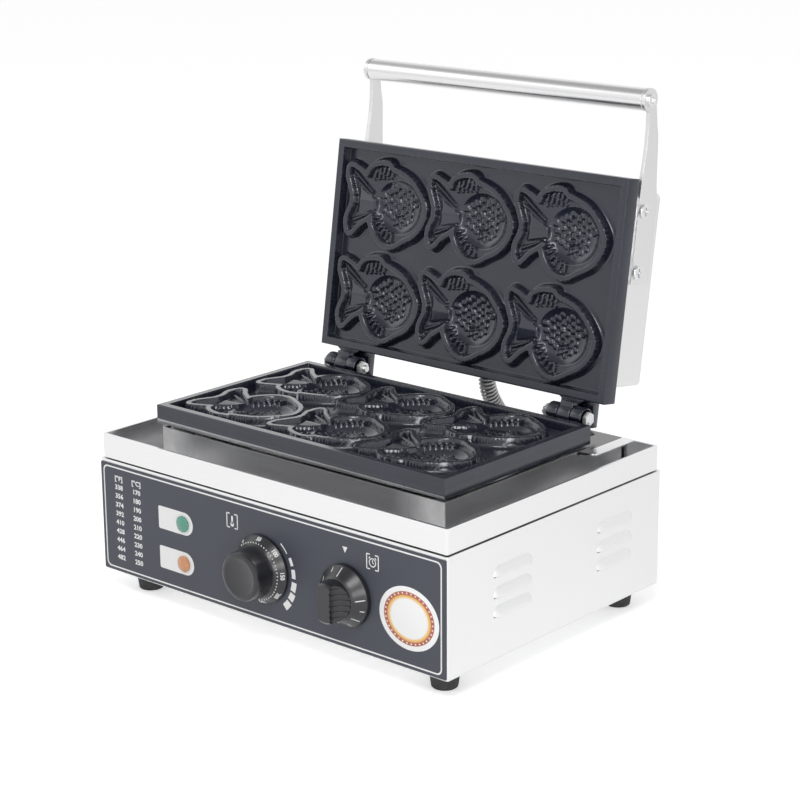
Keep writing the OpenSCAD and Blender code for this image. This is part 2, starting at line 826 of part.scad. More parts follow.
// A domed screw along +Z with its head above z = 0
module domed_screw(r, h, shank, length) {
    rotate_extrude() {
        intersection() {
            square([r, h]);
            translate([0, h - r * 1.25]) circle(r * 1.25);
        }
        translate([0, -length]) square([shank, length + h / 2]);
    }
}

module arm_screws(side) {
    color("silver") on_lid() mirror([side, 0, 0]) for (v = arm_screw_v)
        translate([cover_x + arm_t, arm_screw_w, v]) rotate([0, 90, 0]) {
            domed_screw(6, 3.4, 2.5, 9);
            translate([0, 0, -arm_t - sheet - 4]) cylinder(r = 4.8, h = 4, $fn = 6);
        }
}

module handle_bar() {
    color(steel) on_lid() translate([0, bar_w, bar_v]) difference() {
        rotate([0, 90, 0]) rotate_extrude() polygon([
            [0, -cover_x], [bar_dia / 2 - 0.8, -cover_x], [bar_dia / 2, -cover_x + 0.8],
            [bar_dia / 2, cover_x - 0.8], [bar_dia / 2 - 0.8, cover_x], [0, cover_x]
        ]);
        for (side = [0, 1]) mirror([side, 0, 0]) along_x(end_screw_r, cover_x - 22, cover_x + 1);
    }
}

module handle_end_screws() {
    color("silver") on_lid() for (side = [0, 1]) mirror([side, 0, 0])
        translate([0, bar_w, bar_v]) {
            along_x(end_screw_r, cover_x - 20, cover_x + arm_t + 0.2);
            translate([cover_x + arm_t, 0, 0]) difference() {
                along_x(5.2, 0, 2.4);
                rotate([0, 90, 0]) translate([0, 0, 0.8]) cylinder(r = 2.9, h = 3, $fn = 6);
            }
        }
}

// Conduit between the lid and the box

// A point of the lid's frame, seen from the middle of the box
function lid_point(x, w, v) = let (a = w + rim_above + face_gap, b = v + hinge_back) [
    x, hinge_y + a * cos(lid_lean) + b * sin(lid_lean),
    hinge_z - a * sin(lid_lean) + b * cos(lid_lean)
];
lid_end = lid_point(0, lid_gland_w, cover_low - gland_out);
lid_way = lid_point(0, 0, -1) - lid_point(0, 0, 0);

module lid_gland() {
    color(black) on_lid() translate([0, lid_gland_w, cover_low]) mirror([0, 0, 1])
        gland(gland_bore);
}

module base_gland() {
    color(black) placed() translate([base_end.x, box_d / 2, base_end.z]) rotate([-90, 0, 0])
        gland(gland_bore);
}

// Route of the conduit from the lid to the box, straight at both ends
route = [
    lid_end, lid_end + 8 * lid_way, [0.6, 144.9, 153.5], [1.8, 147.6, 144], [3.2, 152.2, 135],
    [4.6, 157.6, 126.5], [6, 163, 118], [7.6, 168.2, 107], [9, 171.3, 95.5], [10.2, 169.4, 84],
    [11.2, 163, 74], [11.8, 153.3, 68], base_end
];
way = open_curve(route, 6);
function step_after(i) = i + 1 < len(way) ? norm(way[i + 1] - way[i]) : 0;
way_s = [for (i = 0, s = 0; i < len(way); s = s + step_after(i), i = i + 1) s];
way_length = way_s[len(way_s) - 1];

// Point and direction of the route at the distance s from the lid
function way_index(s, low, high) = high - low <= 1 ? low
    : let (m = floor((low + high) / 2)) way_s[m] <= s ? way_index(s, m, high) : way_index(s, low, m);
function way_at(s) = let (i = way_index(s, 0, len(way) - 1),
    f = (s - way_s[i]) / (way_s[i + 1] - way_s[i])) way[i] + f * (way[i + 1] - way[i]);
function way_dir(s) = unit(way_at(min(s + 0.4, way_length - tiny)) - way_at(max(s - 0.4, 0)));
function side_dir(s) = let (t = way_dir(s)) unit([1, 0, 0] - t.x * t);

// Turn of the spring at the distance s: none at its straight ends, then even curls
straight = wire_dia;
ease = 3;
function eased(d) = d < straight ? 0 : d < straight + ease ? pow(d - straight, 2) / (2 * ease)
    : d - straight - ease / 2;
function turn_at(s) = let (h = way_length / 2)
    360 / curl_pitch * (s < h ? eased(s) : 2 * eased(h) - eased(way_length - s));

coil_r = (conduit_dia - wire_dia) / 2;
rings_per_curl = 8;
ring_count = round(way_length / curl_pitch * rings_per_curl);
function coil_at(s) = let (t = way_dir(s), n = side_dir(s), b = cross(t, n), a = turn_at(s))
    way_at(s) + coil_r * (cos(a) * n + sin(a) * b);
coil = [for (i = [0:ring_count]) coil_at(way_length * min(i / ring_count, 0.99999))];

// A closed tube along points, with a ring at each point and flat ends
function ring(c, t, u, r, sides) = let (w = cross(t, u)) [
    for (k = [0:sides - 1]) c + r * (cos(360 * k / sides) * u + sin(360 * k / sides) * w)
];
function across(v, t) = unit(v - (v * t) * t);
module tube(centres, ways, ups, r, sides) {
    n = len(centres);
    points = [for (i = [0:n - 1]) each ring(centres[i], ways[i], across(ups[i], ways[i]), r, sides)];
    wall = [
        for (i = [0:n - 2], k = [0:sides - 1]) let (a = i * sides + k, b = i * sides + (k + 1) % sides)
            each [[a, a + sides, b + sides], [a, b + sides, b]]
    ];
    first = [for (k = [1:sides - 2]) [0, k, k + 1]];
    last = [for (k = [1:sides - 2]) let (o = (n - 1) * sides) [o, o + k + 1, o + k]];
    polyhedron(points = points, faces = concat(wall, first, last));
}

module conduit_spring() {
    n = len(coil);
    s = [for (i = [0:n - 1]) way_length * min(i / ring_count, 0.99999)];
    ways = [
        for (i = [0:n - 1]) i == 0 ? way_dir(0) : i == n - 1 ? way_dir(way_length - tiny)
            : unit(coil[i + 1] - coil[i - 1])
    ];
    ups = [for (i = [0:n - 1]) coil[i] - way_at(s[i])];
    color("silver") placed() tube(coil, ways, ups, wire_dia / 2, 6);
}

module lid_cable() {
    steps = 20;
    s = [for (i = [0:steps]) cable_gap + (way_length - 2 * cable_gap) * i / steps];
    color(black) placed() tube([for (d = s) way_at(d)], [for (d = s) way_dir(d)],
        [for (d = s) side_dir(d)], cable_r, 8);
}

// Least gap from curl to curl, measured between ring centres more than half a turn apart
coil_turn = [for (i = [0:ring_count]) turn_at(way_length * i / ring_count)];
spring_gap = min([
    for (i = [0:ring_count], j = [i + 1:1:min(i + 3 * rings_per_curl, ring_count)])
        if (coil_turn[j] - coil_turn[i] > 180) norm(coil[i] - coil[j])
]) - wire_dia;
echo(spring_gap = spring_gap, spring_curls = coil_turn[ring_count] / 360, way = way_length);

housing();
bottom_plate();
control_panel();
drip_tray();
plinth();
lower_plate();
lower_heater();
plate_posts();
sensor_bulb();
lamp_body(lamps_z[0]);  // power_lamp_body
lamp_lens(lamps_z[0], [0.37, 0.64, 0.56]);  // power_lamp_lens
lamp_body(lamps_z[1]);  // heat_lamp_body
lamp_lens(lamps_z[1], [0.85, 0.58, 0.4]);  // heat_lamp_lens
thermostat_body();
dial_shaft(dial_x);  // thermostat_shaft
thermostat_knob();
timer_body();
dial_shaft(timer_x);  // timer_shaft
timer_knob();
dial_screws();
terminal_block();
mains_gland();
foot(-1, foot_y[0]);  // foot_front_left
foot(1, foot_y[0]);  // foot_front_right
foot(-1, foot_y[1]);  // foot_rear_left
foot(1, foot_y[1]);  // foot_rear_right
foot_screws();
bottom_screws();
hinge_bolt(1);  // hinge_bolt_left
hinge_bolt(0);  // hinge_bolt_right
hinge_nut(1);  // hinge_nut_left
hinge_nut(0);  // hinge_nut_right
upper_plate();
lid_cover();
upper_heater();
cover_posts();
cover_screws();
handle_arm(1);  // handle_arm_left
handle_arm(0);  // handle_arm_right
arm_screws(1);  // arm_screws_left
arm_screws(0);  // arm_screws_right
handle_bar();
handle_end_screws();
lid_gland();
base_gland();
conduit_spring();
lid_cable();
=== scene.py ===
"""Countertop cooker with fish moulds: its finishes, its finer pieces and its studio."""

import json
import math

import bmesh
import bpy
import numpy as np
from mathutils import Matrix, Vector


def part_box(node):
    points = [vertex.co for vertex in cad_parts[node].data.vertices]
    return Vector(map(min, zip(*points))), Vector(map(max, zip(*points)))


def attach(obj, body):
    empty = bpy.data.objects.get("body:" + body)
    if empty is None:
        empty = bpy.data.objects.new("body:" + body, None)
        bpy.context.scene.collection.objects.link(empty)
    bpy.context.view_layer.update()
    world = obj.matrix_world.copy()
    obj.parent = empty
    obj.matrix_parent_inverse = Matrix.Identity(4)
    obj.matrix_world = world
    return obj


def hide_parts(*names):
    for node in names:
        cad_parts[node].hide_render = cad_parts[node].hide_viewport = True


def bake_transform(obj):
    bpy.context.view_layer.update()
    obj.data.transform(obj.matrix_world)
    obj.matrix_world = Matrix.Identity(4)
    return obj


bl_info = {
    "name": "Fish Cake Cooker",
    "version": (1, 0, 0),
    "blender": (4, 5, 0),
    "location": "3D View > Sidebar > Cooker",
    "description": "Moulds, dials, marks, finishes and studio of a countertop fish cake cooker",
    "category": "Add Mesh",
}

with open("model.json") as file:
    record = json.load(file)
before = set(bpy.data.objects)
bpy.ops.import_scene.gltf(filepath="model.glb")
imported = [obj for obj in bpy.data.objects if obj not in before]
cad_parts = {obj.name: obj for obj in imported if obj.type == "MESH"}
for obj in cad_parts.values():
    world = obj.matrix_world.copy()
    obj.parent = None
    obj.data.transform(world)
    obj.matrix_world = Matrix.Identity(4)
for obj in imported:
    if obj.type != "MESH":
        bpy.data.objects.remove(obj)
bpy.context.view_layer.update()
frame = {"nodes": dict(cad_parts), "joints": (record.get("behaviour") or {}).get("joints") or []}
MM = 0.001


# Places taken from the frame


def joint(name):
    return next(j for j in frame["joints"] if j["name"] == name)


HINGE = Vector(joint("lid_hinge")["pos_m"])
LEAN = math.radians(joint("lid_hinge")["range_deg"][1] - 90)
THERMOSTAT = Vector(joint("thermostat_turn")["pos_m"])
TIMER = Vector(joint("timer_turn")["pos_m"])
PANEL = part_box("control_panel")
MOULD_BACK = 14.2 * MM
# Edges of the upstand's deck, flanges and front face, which bound its painted shade, shadow,
# highlight and reflection
PLINTH_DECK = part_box("plinth")[1].z - 2.4 * MM
PLINTH_SIDE = 155 * MM
PLINTH_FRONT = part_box("plinth")[0].y
FLANGE_FRONT = PLINTH_FRONT + 172 * MM
RIM_ABOVE = 1.0 * MM
FACE_GAP = 0.3 * MM

# From the lid's own frame to the row: x, distance behind the rim face, distance up the plate
LID = (
    Matrix.Translation(HINGE)
    @ Matrix.Rotation(-LEAN, 4, "X")
    @ Matrix.Translation((0, RIM_ABOVE + FACE_GAP, MOULD_BACK))
)
# From a mould's drawing to the row: x, distance from the back edge, height over the rim face
UPPER_MOULD = LID @ Matrix.Rotation(math.pi / 2, 4, "X")
LOWER_MOULD = Matrix.Translation(
    (0, HINGE.y - MOULD_BACK, HINGE.z + RIM_ABOVE)
) @ Matrix.Diagonal((1, -1, 1, 1))


# Meshes


class Shape:
    """Corners and faces that are gathered before they become a piece."""

    def __init__(self, verts=(), faces=()):
        self.verts = [Vector(v) for v in verts]
        self.faces = [tuple(f) for f in faces]

    @classmethod
    def of(cls, mesh):
        """The corners and faces of a mesh."""
        return cls([v.co for v in mesh.vertices], [p.vertices for p in mesh.polygons])

    @classmethod
    def of_object(cls, thing):
        """The finished shape of an object, which is removed."""
        mesh = finished_mesh(thing)
        shape = cls.of(mesh)
        drop(thing)
        bpy.data.meshes.remove(mesh)
        return shape

    @classmethod
    def of_build(cls, build):
        """Takes the corners and faces out of a bmesh and frees it."""
        build.verts.index_update()
        shape = cls([v.co for v in build.verts], [[v.index for v in f.verts] for f in build.faces])
        build.free()
        return shape

    def add(self, other, place=None):
        """Takes in another shape, moved to its place."""
        start = len(self.verts)
        flip = place is not None and place.determinant() < 0
        self.verts += [place @ v if place else v.copy() for v in other.verts]
        for face in other.faces:
            corners = reversed(face) if flip else face
            self.faces.append(tuple(start + i for i in corners))
        return self

    def moved(self, place):
        """The shape at its place."""
        return Shape().add(self, place)


def lathe(profile, steps):
    """Turns a profile of radius and height about Z. A point on the axis becomes a pole."""
    shape = Shape()
    rings = []
    for radius, height in profile:
        start = len(shape.verts)
        if not radius:
            shape.verts.append(Vector((0, 0, height)))
            rings.append([start] * steps)
            continue
        for i in range(steps):
            turn = 2 * math.pi * i / steps
            shape.verts.append(Vector((radius * math.cos(turn), radius * math.sin(turn), height)))
        rings.append(list(range(start, start + steps)))
    for low, high in zip(rings, rings[1:]):
        for i in range(steps):
            j = (i + 1) % steps
            face = [low[i], low[j], high[j], high[i]]
            face = [v for k, v in enumerate(face) if v != face[k - 1]]
            if len(face) > 2:
                shape.faces.append(tuple(face))
    return shape


def prism(outline, low, high):
    """Raises an outline between two heights. Its points run anticlockwise."""
    n = len(outline)
    verts = [(x, y, low) for x, y in outline] + [(x, y, high) for x, y in outline]
    faces = [tuple(reversed(range(n))), tuple(range(n, 2 * n))]
    faces += [(i, (i + 1) % n, n + (i + 1) % n, n + i) for i in range(n)]
    return Shape(verts, faces)


def frame_prism(outer, inner, low, high):
    """Raises the band between two outlines that have the same number of points."""
    n = len(outer)
    verts = [(x, y, z) for z in (low, high) for ring in (outer, inner) for x, y in ring]
    faces = []
    for i in range(n):
        j = (i + 1) % n
        faces += [
            (i, n + i, n + j, j),
            (2 * n + i, 2 * n + j, 3 * n + j, 3 * n + i),
            (i, j, 2 * n + j, 2 * n + i),
            (n + i, 3 * n + i, 3 * n + j, n + j),
        ]
    return Shape(verts, faces)


def block(low, high):
    """A box between two corners."""
    (x0, y0, z0), (x1, y1, z1) = low, high
    return prism([(x0, y0), (x1, y0), (x1, y1), (x0, y1)], z0, z1)


def pin(radius, low, high, steps):
    """A plain cylinder along Z."""
    return lathe([(0, low), (radius, low), (radius, high), (0, high)], steps)


def arc(centre, radius, start, end, steps):
    """Points along an arc, with its angles in degrees."""
    turns = [math.radians(start + (end - start) * i / steps) for i in range(steps + 1)]
    return [(centre[0] + radius * math.cos(t), centre[1] + radius * math.sin(t)) for t in turns]


def rounded_box(x0, y0, x1, y1, radius):
    """Outline of a rectangle with round corners."""
    corners = [(x1, y0, -90), (x1, y1, 0), (x0, y1, 90), (x0, y0, 180)]
    points = []
    for x, y, start in corners:
        cx = x - radius if x == x1 else x + radius
        cy = y - radius if y == y1 else y + radius
        points += arc((cx, cy), radius, start, start + 90, 6)
    return points


def bevelled(shape, width, steps=2, angle=30):
    """Rounds the shape's sharp edges."""
    build = bmesh.new()
    verts = [build.verts.new(v) for v in shape.verts]
    for face in shape.faces:
        build.faces.new([verts[i] for i in face])
    build.normal_update()
    limit = math.radians(angle)
    sharp = [e for e in build.edges if len(e.link_faces) == 2 and e.calc_face_angle() > limit]
    bmesh.ops.bevel(
        build, geom=sharp, offset=width, offset_type="OFFSET", segments=steps, profile=0.5,
        affect="EDGES", clamp_overlap=True,
    )
    return Shape.of_build(build)


def tube(points, radius, sides):
    """A closed tube along points."""
    path = [Vector(p) for p in points]
    shape = Shape()
    side = Vector((1, 0, 0))
    for i, here in enumerate(path):
        ahead = (path[min(i + 1, len(path) - 1)] - path[max(i - 1, 0)]).normalized()
        side = (side - side.dot(ahead) * ahead).normalized()
        other = ahead.cross(side)
        for k in range(sides):
            turn = 2 * math.pi * k / sides
            shape.verts.append(here + radius * (math.cos(turn) * side + math.sin(turn) * other))
    for i in range(len(path) - 1):
        for k in range(sides):
            a, b = i * sides + k, i * sides + (k + 1) % sides
            shape.faces.append((a, b, b + sides, a + sides))
    last = (len(path) - 1) * sides
    shape.faces.append(tuple(reversed(range(sides))))
    shape.faces.append(tuple(range(last, last + sides)))
    return shape


def link(name, data):
    """A new object in the scene."""
    thing = bpy.data.objects.new(name, data)
    bpy.context.scene.collection.objects.link(thing)
    return thing


def drop(*objects):
    """Removes helper objects."""
    for thing in objects:
        bpy.data.objects.remove(thing)


def finished_mesh(thing):
    """The object's mesh with its modifiers applied."""
    bpy.context.view_layer.update()
    ready = thing.evaluated_get(bpy.context.evaluated_depsgraph_get())
    return bpy.data.meshes.new_from_object(ready)


def make_object(name, shape, material=None, smooth=35):
    """A mesh object at the origin whose place is in its mesh."""
    mesh = bpy.data.meshes.new(name)
    mesh.from_pydata([tuple(v) for v in shape.verts], [], shape.faces)
    mesh.validate()
    finish_mesh(mesh, smooth)
    if material:
        mesh.materials.append(material)
    return link(name, mesh)


def finish_mesh(mesh, smooth):
    """Smooth faces, with sharp edges past the angle."""
    mesh.shade_smooth()
    mesh.set_sharp_from_angle(angle=math.radians(smooth))


def soften(node, material, body, slot):
    """Puts a joined and smoothly shaded copy in the place of a frame piece."""
    build = bmesh.new()
    build.from_mesh(frame["nodes"][node].data)
    bmesh.ops.remove_doubles(build, verts=build.verts, dist=0.002 * MM)
    piece = make_object(node + "_piece", Shape.of_build(build), material, smooth=32)
    seat(piece, body, slot, node)


def seat(piece, body, slot, *nodes):
    """Ties a finished piece to its body and hides the nodes it stands for. The slot is not used."""
    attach(piece, body)
    if nodes:
        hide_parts(*nodes)


def lettering(words, height, place, width, thick, bold):
    """Plain figures as a thin mesh shape, centred on the place."""
    curve = bpy.data.curves.new("figures", "FONT")
    curve.body = words
    curve.size = height * 1.4
    curve.align_x = curve.align_y = "CENTER"
    curve.extrude = thick
    curve.offset = bold
    curve.resolution_u = 3
    shape = Shape.of_object(link("figures", curve))
    bpy.data.curves.remove(curve)
    return shape.moved(Matrix.Diagonal((width, 1, 1, 1))).moved(place)


# Geometry Nodes


class Wiring:
    """Adds nodes to a tree and links them."""

    def __init__(self, tree):
        self.tree = tree

    def add(self, kind, inputs=None, **settings):
        node = self.tree.nodes.new(kind)
        for key, value in settings.items():
            setattr(node, key, value)
        for key, value in (inputs or {}).items():
            self.feed(node.inputs[key], value)
        return node

    def out(self, kind, inputs=None, **settings):
        """The first output of a new node."""
        return self.add(kind, inputs, **settings).outputs[0]

    def feed(self, socket, value):
        if isinstance(value, bpy.types.NodeSocket):
            self.tree.links.new(value, socket)
        else:
            socket.default_value = value

    def math(self, operation, a, b=0.0, c=0.0):
        return self.out("ShaderNodeMath", {0: a, 1: b, 2: c}, operation=operation)

    def times(self, *values):
        """All the values multiplied."""
        total = values[0]
        for value in values[1:]:
            total = self.math("MULTIPLY", total, value)
        return total

    def spread(self, value, low, high, start=0.3, end=0.7, **settings):
        """Maps a value from one range to another and holds it there."""
        limits = {"From Min": start, "From Max": end, "To Min": low, "To Max": high}
        return self.out("ShaderNodeMapRange", {"Value": value, **limits}, **settings)


class Growth(Wiring):
    """A Geometry Nodes tree with its named inputs: label to socket kind and default."""

    def __init__(self, name, inputs):
        super().__init__(bpy.data.node_groups.new(name, "GeometryNodeTree"))
        sides = self.tree.interface
        sides.new_socket("Geometry", in_out="INPUT", socket_type="NodeSocketGeometry")
        for label, (kind, default) in {**inputs, "Material": ("Material", None)}.items():
            socket = sides.new_socket(label, in_out="INPUT", socket_type="NodeSocket" + kind)
            if default is not None:
                socket.default_value = default
        sides.new_socket("Geometry", in_out="OUTPUT", socket_type="NodeSocketGeometry")
        self.given = self.add("NodeGroupInput").outputs

    def vector_math(self, operation, a, b):
        """Works on two vectors, or on a vector and its scale."""
        second = "Scale" if operation == "SCALE" else 1
        return self.out("ShaderNodeVectorMath", {0: a, second: b}, operation=operation)

    def copies(self, points, **turned):
        """The shape that was given, at every point."""
        shape = self.add("GeometryNodeObjectInfo", {"Object": self.given["Shape"]})
        places = {"Points": points, "Instance": shape.outputs["Geometry"], **turned}
        return self.out("GeometryNodeInstanceOnPoints", places)

    def close(self, geometry):
        """Makes real meshes of the instances, gives them the material and ends the tree."""
        real = self.out("GeometryNodeRealizeInstances", {"Geometry": geometry})
        painted = self.out(
            "GeometryNodeSetMaterial", {"Geometry": real, "Material": self.given["Material"]}
        )
        self.add("NodeGroupOutput", {0: painted})
        return self.tree


def copies_tree():
    """A shape at every point of a mesh."""
    w = Growth("copies_at_points", {"Shape": ("Object", None)})
    points = w.out("GeometryNodeMeshToPoints", {"Mesh": w.given["Geometry"]})
    return w.close(w.copies(points))


def ring_tree():
    """Copies of a shape at even steps along an arc about Z, each turned to face outwards."""
    w = Growth(
        "marks_along_arc",
        {
            "Count": ("Int", 12),
            "Radius": ("Float", 0.02),
            "First Angle": ("Float", 0.0),
            "Step": ("Float", 0.1),
            "Shape": ("Object", None),
        },
    )
    points = w.out("GeometryNodePoints", {"Count": w.given["Count"]})
    index = w.out("GeometryNodeInputIndex")
    turn = w.math("ADD", w.times(index, w.given["Step"]), w.given["First Angle"])
    radius = w.given["Radius"]
    spot = w.out(
        "ShaderNodeCombineXYZ",
        {
            "X": w.times(w.math("COSINE", turn), radius),
            "Y": w.times(w.math("SINE", turn), radius),
        },
    )
    placed = w.out("GeometryNodeSetPosition", {"Geometry": points, "Position": spot})
    turned = w.out("ShaderNodeCombineXYZ", {"Z": turn})
    rotation = w.out("FunctionNodeEulerToRotation", {0: turned})
    return w.close(w.copies(placed, Rotation=rotation))


def wound_tree():
    """A wire wound about a curve with an even pitch."""
    w = Growth(
        "wound_wire",
        {
            "Coil Radius": ("Float", 0.006),
            "Wire Radius": ("Float", 0.001),
            "Pitch": ("Float", 0.004),
            "Rings": ("Int", 20),
        },
    )
    curve, rings = w.given["Geometry"], w.given["Rings"]
    length = w.out("GeometryNodeCurveLength", {"Curve": curve})
    count = w.times(w.math("DIVIDE", length, w.given["Pitch"]), rings)
    even = w.out("GeometryNodeResampleCurve", {"Curve": curve, "Count": count})
    index = w.out("GeometryNodeInputIndex")
    turn = w.math("DIVIDE", w.times(index, 2 * math.pi), rings)
    normal = w.out("GeometryNodeInputNormal")
    other = w.vector_math("CROSS_PRODUCT", w.out("GeometryNodeInputTangent"), normal)
    across = w.vector_math("SCALE", normal, w.math("COSINE", turn))
    along = w.vector_math("SCALE", other, w.math("SINE", turn))
    away = w.vector_math("ADD", across, along)
    offset = w.vector_math("SCALE", away, w.given["Coil Radius"])
    wound = w.out("GeometryNodeSetPosition", {"Geometry": even, "Offset": offset})
    profile = w.out(
        "GeometryNodeCurvePrimitiveCircle", {"Resolution": 10, "Radius": w.given["Wire Radius"]}
    )
    wire = w.out(
        "GeometryNodeCurveToMesh", {"Curve": wound, "Profile Curve": profile, "Fill Caps": True}
    )
    return w.close(wire)


def grow(name, base, tree, values, smooth=35):
    """Runs a tree on a base object and keeps the result as a plain mesh."""
    modifier = base.modifiers.new("grow", "NODES")
    modifier.node_group = tree
    sockets = {i.name: i.identifier for i in tree.interface.items_tree if i.in_out == "INPUT"}
    for label, value in values.items():
        modifier[sockets[label]] = value
    base.update_tag()
    mesh = finished_mesh(base)
    mesh.name = name
    finish_mesh(mesh, smooth)
    drop(base)
    return link(name, mesh)


# Materials


# The casting's bare metal: its colour, the band's height and how much it rises to the right
BARE_METAL = (0.42, 0.42, 0.43)
BARE_BAND = 2.9 * MM
BARE_SLANT = 0.005
# Stretch of a sheet's grain that runs level all round
GRAIN_LEVEL = (0.02, 0.02, 1)


class Finish(Wiring):
    """One procedural material, built round its Principled BSDF."""

    def __init__(self, name, colour, roughness, metallic=0.0, **sockets):
        self.material = bpy.data.materials.new(name)
        self.material.use_nodes = True
        self.material.diffuse_color = (*colour, 1)
        super().__init__(self.material.node_tree)
        self.shader = self.tree.nodes["Principled BSDF"]
        self.coords = self.add("ShaderNodeTexCoord").outputs["Object"]
        self.put(Base_Color=(*colour, 1), Roughness=roughness, Metallic=metallic, **sockets)

    def put(self, **sockets):
        """Sets or links the shader's sockets."""
        for key, value in sockets.items():
            self.feed(self.shader.inputs[key.replace("_", " ")], value)

    def axes(self, coords=None):
        """X, Y and Z of the place on the piece."""
        return self.add("ShaderNodeSeparateXYZ", {"Vector": coords or self.coords}).outputs

    def noise(self, scale, detail=3.0, stretch=(1, 1, 1)):
        """Noise of that many waves a metre, drawn out by the stretch."""
        drawn = self.out("ShaderNodeMapping", {"Vector": self.coords, "Scale": stretch})
        wave = {"Vector": drawn, "Scale": scale, "Detail": detail, "Roughness": 0.5}
        return self.add("ShaderNodeTexNoise", wave).outputs["Fac"]

    def mix(self, factor, a, b):
        """Blends two colours."""
        node = self.add("ShaderNodeMix", {"Factor": factor}, data_type="RGBA")
        for name, colour in (("A", a), ("B", b)):
            self.feed(node.inputs[name], (*colour, 1) if isinstance(colour, tuple) else colour)
        return node.outputs["Result"]

    def mottle(self, wave, colour, low, high=1.0):
        """Varies the base colour with a wave, between two strengths."""
        shade = self.mix(self.spread(wave, 0.0, 1.0), scaled(colour, low), scaled(colour, high))
        self.put(Base_Color=shade)

    def lay(self, factor, colour):
        """Lays a colour over the base colour, as strong as the factor."""
        plain = self.shader.inputs["Base Color"].links[0].from_socket
        self.put(Base_Color=self.mix(factor, plain, colour))

    def bump(self, height, distance, strength=1.0, rounding=0.0):
        """Raises the surface by a height, over edges rounded by a radius."""
        relief = {"Height": height, "Distance": distance, "Strength": strength}
        if rounding:
            relief["Normal"] = self.out("ShaderNodeBevel", {"Radius": rounding}, samples=6)
        self.put(Normal=self.out("ShaderNodeBump", relief))


def rgb(value):
    """A property's colour as a plain tuple."""
    return tuple(value)[:3]


def scaled(colour, factor):
    return tuple(min(1.0, c * factor) for c in colour)


def sheet_steel(name, colour, roughness, grain, rounding=0.9 * MM):
    """Brushed stainless sheet whose grain runs where the stretch is small."""
    f = Finish(name, colour, roughness, metallic=1.0, Anisotropic=0.35)
    streaks = f.noise(1100, 2, grain)
    shade = f.times(f.spread(streaks, 0.985, 1.0), f.spread(f.noise(7, 2), 0.975, 1.0))
    f.put(
        Base_Color=f.mix(shade, scaled(colour, 0.45), colour),
        Roughness=f.math("ADD", f.spread(streaks, -0.02, 0.03), roughness),
    )
    f.bump(streaks, 0.004 * MM, 0.4, rounding)
    return f


def upstand_steel(name, colour, highlight_colour, roughness):
    """Steel of the upstand, dull, with painted light: painted shade on its deck by the hinges, a
    painted highlight on its flanges, a painted shadow at their front tips and a painted reflection
    on the ends of its front face.
    """
    f = sheet_steel(name, colour, roughness, GRAIN_LEVEL, 0.5 * MM)
    x, y, z = f.axes()
    across = f.math("ABSOLUTE", x)
    top = f.spread(z, 0, 1, PLINTH_DECK - 1.2 * MM, PLINTH_DECK - 0.6 * MM)
    rear = f.spread(y, 0, 1, HINGE.y - 30 * MM, HINGE.y - 28 * MM)
    beside = f.spread(across, 0, 1, PLINTH_SIDE + 0.1 * MM, PLINTH_SIDE + 0.4 * MM)
    # Painted shade: the deck at the back is darkened for the dark lid and plate above it
    f.lay(f.times(top, rear, f.math("SUBTRACT", 1.0, beside)), scaled(colour, 0.3))
    # Painted highlight: the flanges take the lighter sheet colour
    f.lay(f.times(beside, top), highlight_colour)
    # Painted shadow: a near black patch at each flange's front tip, for the shade of the hollow
    # beneath it
    tip = f.spread(y, 1, 0, FLANGE_FRONT + 2.6 * MM, FLANGE_FRONT + 3.4 * MM)
    f.lay(f.times(beside, tip), scaled(colour, 0.06))
    # Painted reflection: the ends of the front face are painted lighter and less metallic, for the
    # lit tray wall they reflect
    face = f.spread(y, 1, 0, PLINTH_FRONT + 0.3 * MM, PLINTH_FRONT + 1.2 * MM)
    ends = f.spread(across, 0, 1, PLINTH_SIDE - 52 * MM, PLINTH_SIDE - 14 * MM)
    painted_reflection = f.times(face, ends, f.spread(f.noise(45), 0.7, 1.0))
    f.lay(painted_reflection, scaled(highlight_colour, 0.85))
    f.put(Metallic=f.math("SUBTRACT", 1.0, f.times(painted_reflection, 0.9)))
    return f


def tray_steel(name, colour, roughness):
    """Bright steel of the tray, with painted shadow in the narrow gap under it."""
    f = sheet_steel(name, colour, roughness, GRAIN_LEVEL, 0.5 * MM)
    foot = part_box("drip_tray")[0].z + 0.8 * MM
    # Painted shadow: the tray's foot is painted near black up to the top of the narrow gap under it
    f.lay(f.spread(f.axes()["Z"], 1, 0, foot, foot + 0.1 * MM), scaled(colour, 0.06))
    return f


def cast_coating(name, colour, roughness, worn):
    """Dark non-stick coating on a casting, pale where it is worn and bare at the front's foot."""
    f = Finish(
        name, colour, roughness, Specular_IOR_Level=0.25, Specular_Tint=(0.8, 0.86, 1.0, 1),
        Coat_Weight=1.0, Coat_Roughness=0.18,
    )
    cloud = f.noise(28)
    f.mottle(cloud, colour, 0.8, 1.25)
    wear = f.add("ShaderNodeAttribute", attribute_name="wear").outputs["Fac"]
    scratches = f.spread(f.noise(420, 4, (1, 0.3, 1)), 0.0, 1.0, 0.38, 0.62)
    f.lay(f.times(wear, scratches), worn)
    x, y, z = f.axes()
    front = HINGE.y - MOULD_BACK - PLATE_L * MM
    face = f.spread(y, 1, 0, front + 0.1 * MM, front + 0.4 * MM)
    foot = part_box("lower_plate")[0].z + BARE_BAND
    height = f.math("ADD", z, f.times(x, BARE_SLANT))
    bare = f.times(face, f.spread(height, 1, 0, foot, foot + 0.3 * MM))
    f.lay(bare, BARE_METAL)
    smooth = f.spread(cloud, roughness - 0.05, roughness + 0.06)
    f.put(Metallic=bare, Roughness=f.math("SUBTRACT", smooth, f.times(wear, 0.08)))
    f.bump(f.noise(1500, 4), 0.035 * MM, 0.55, 0.5 * MM)
    return f.material


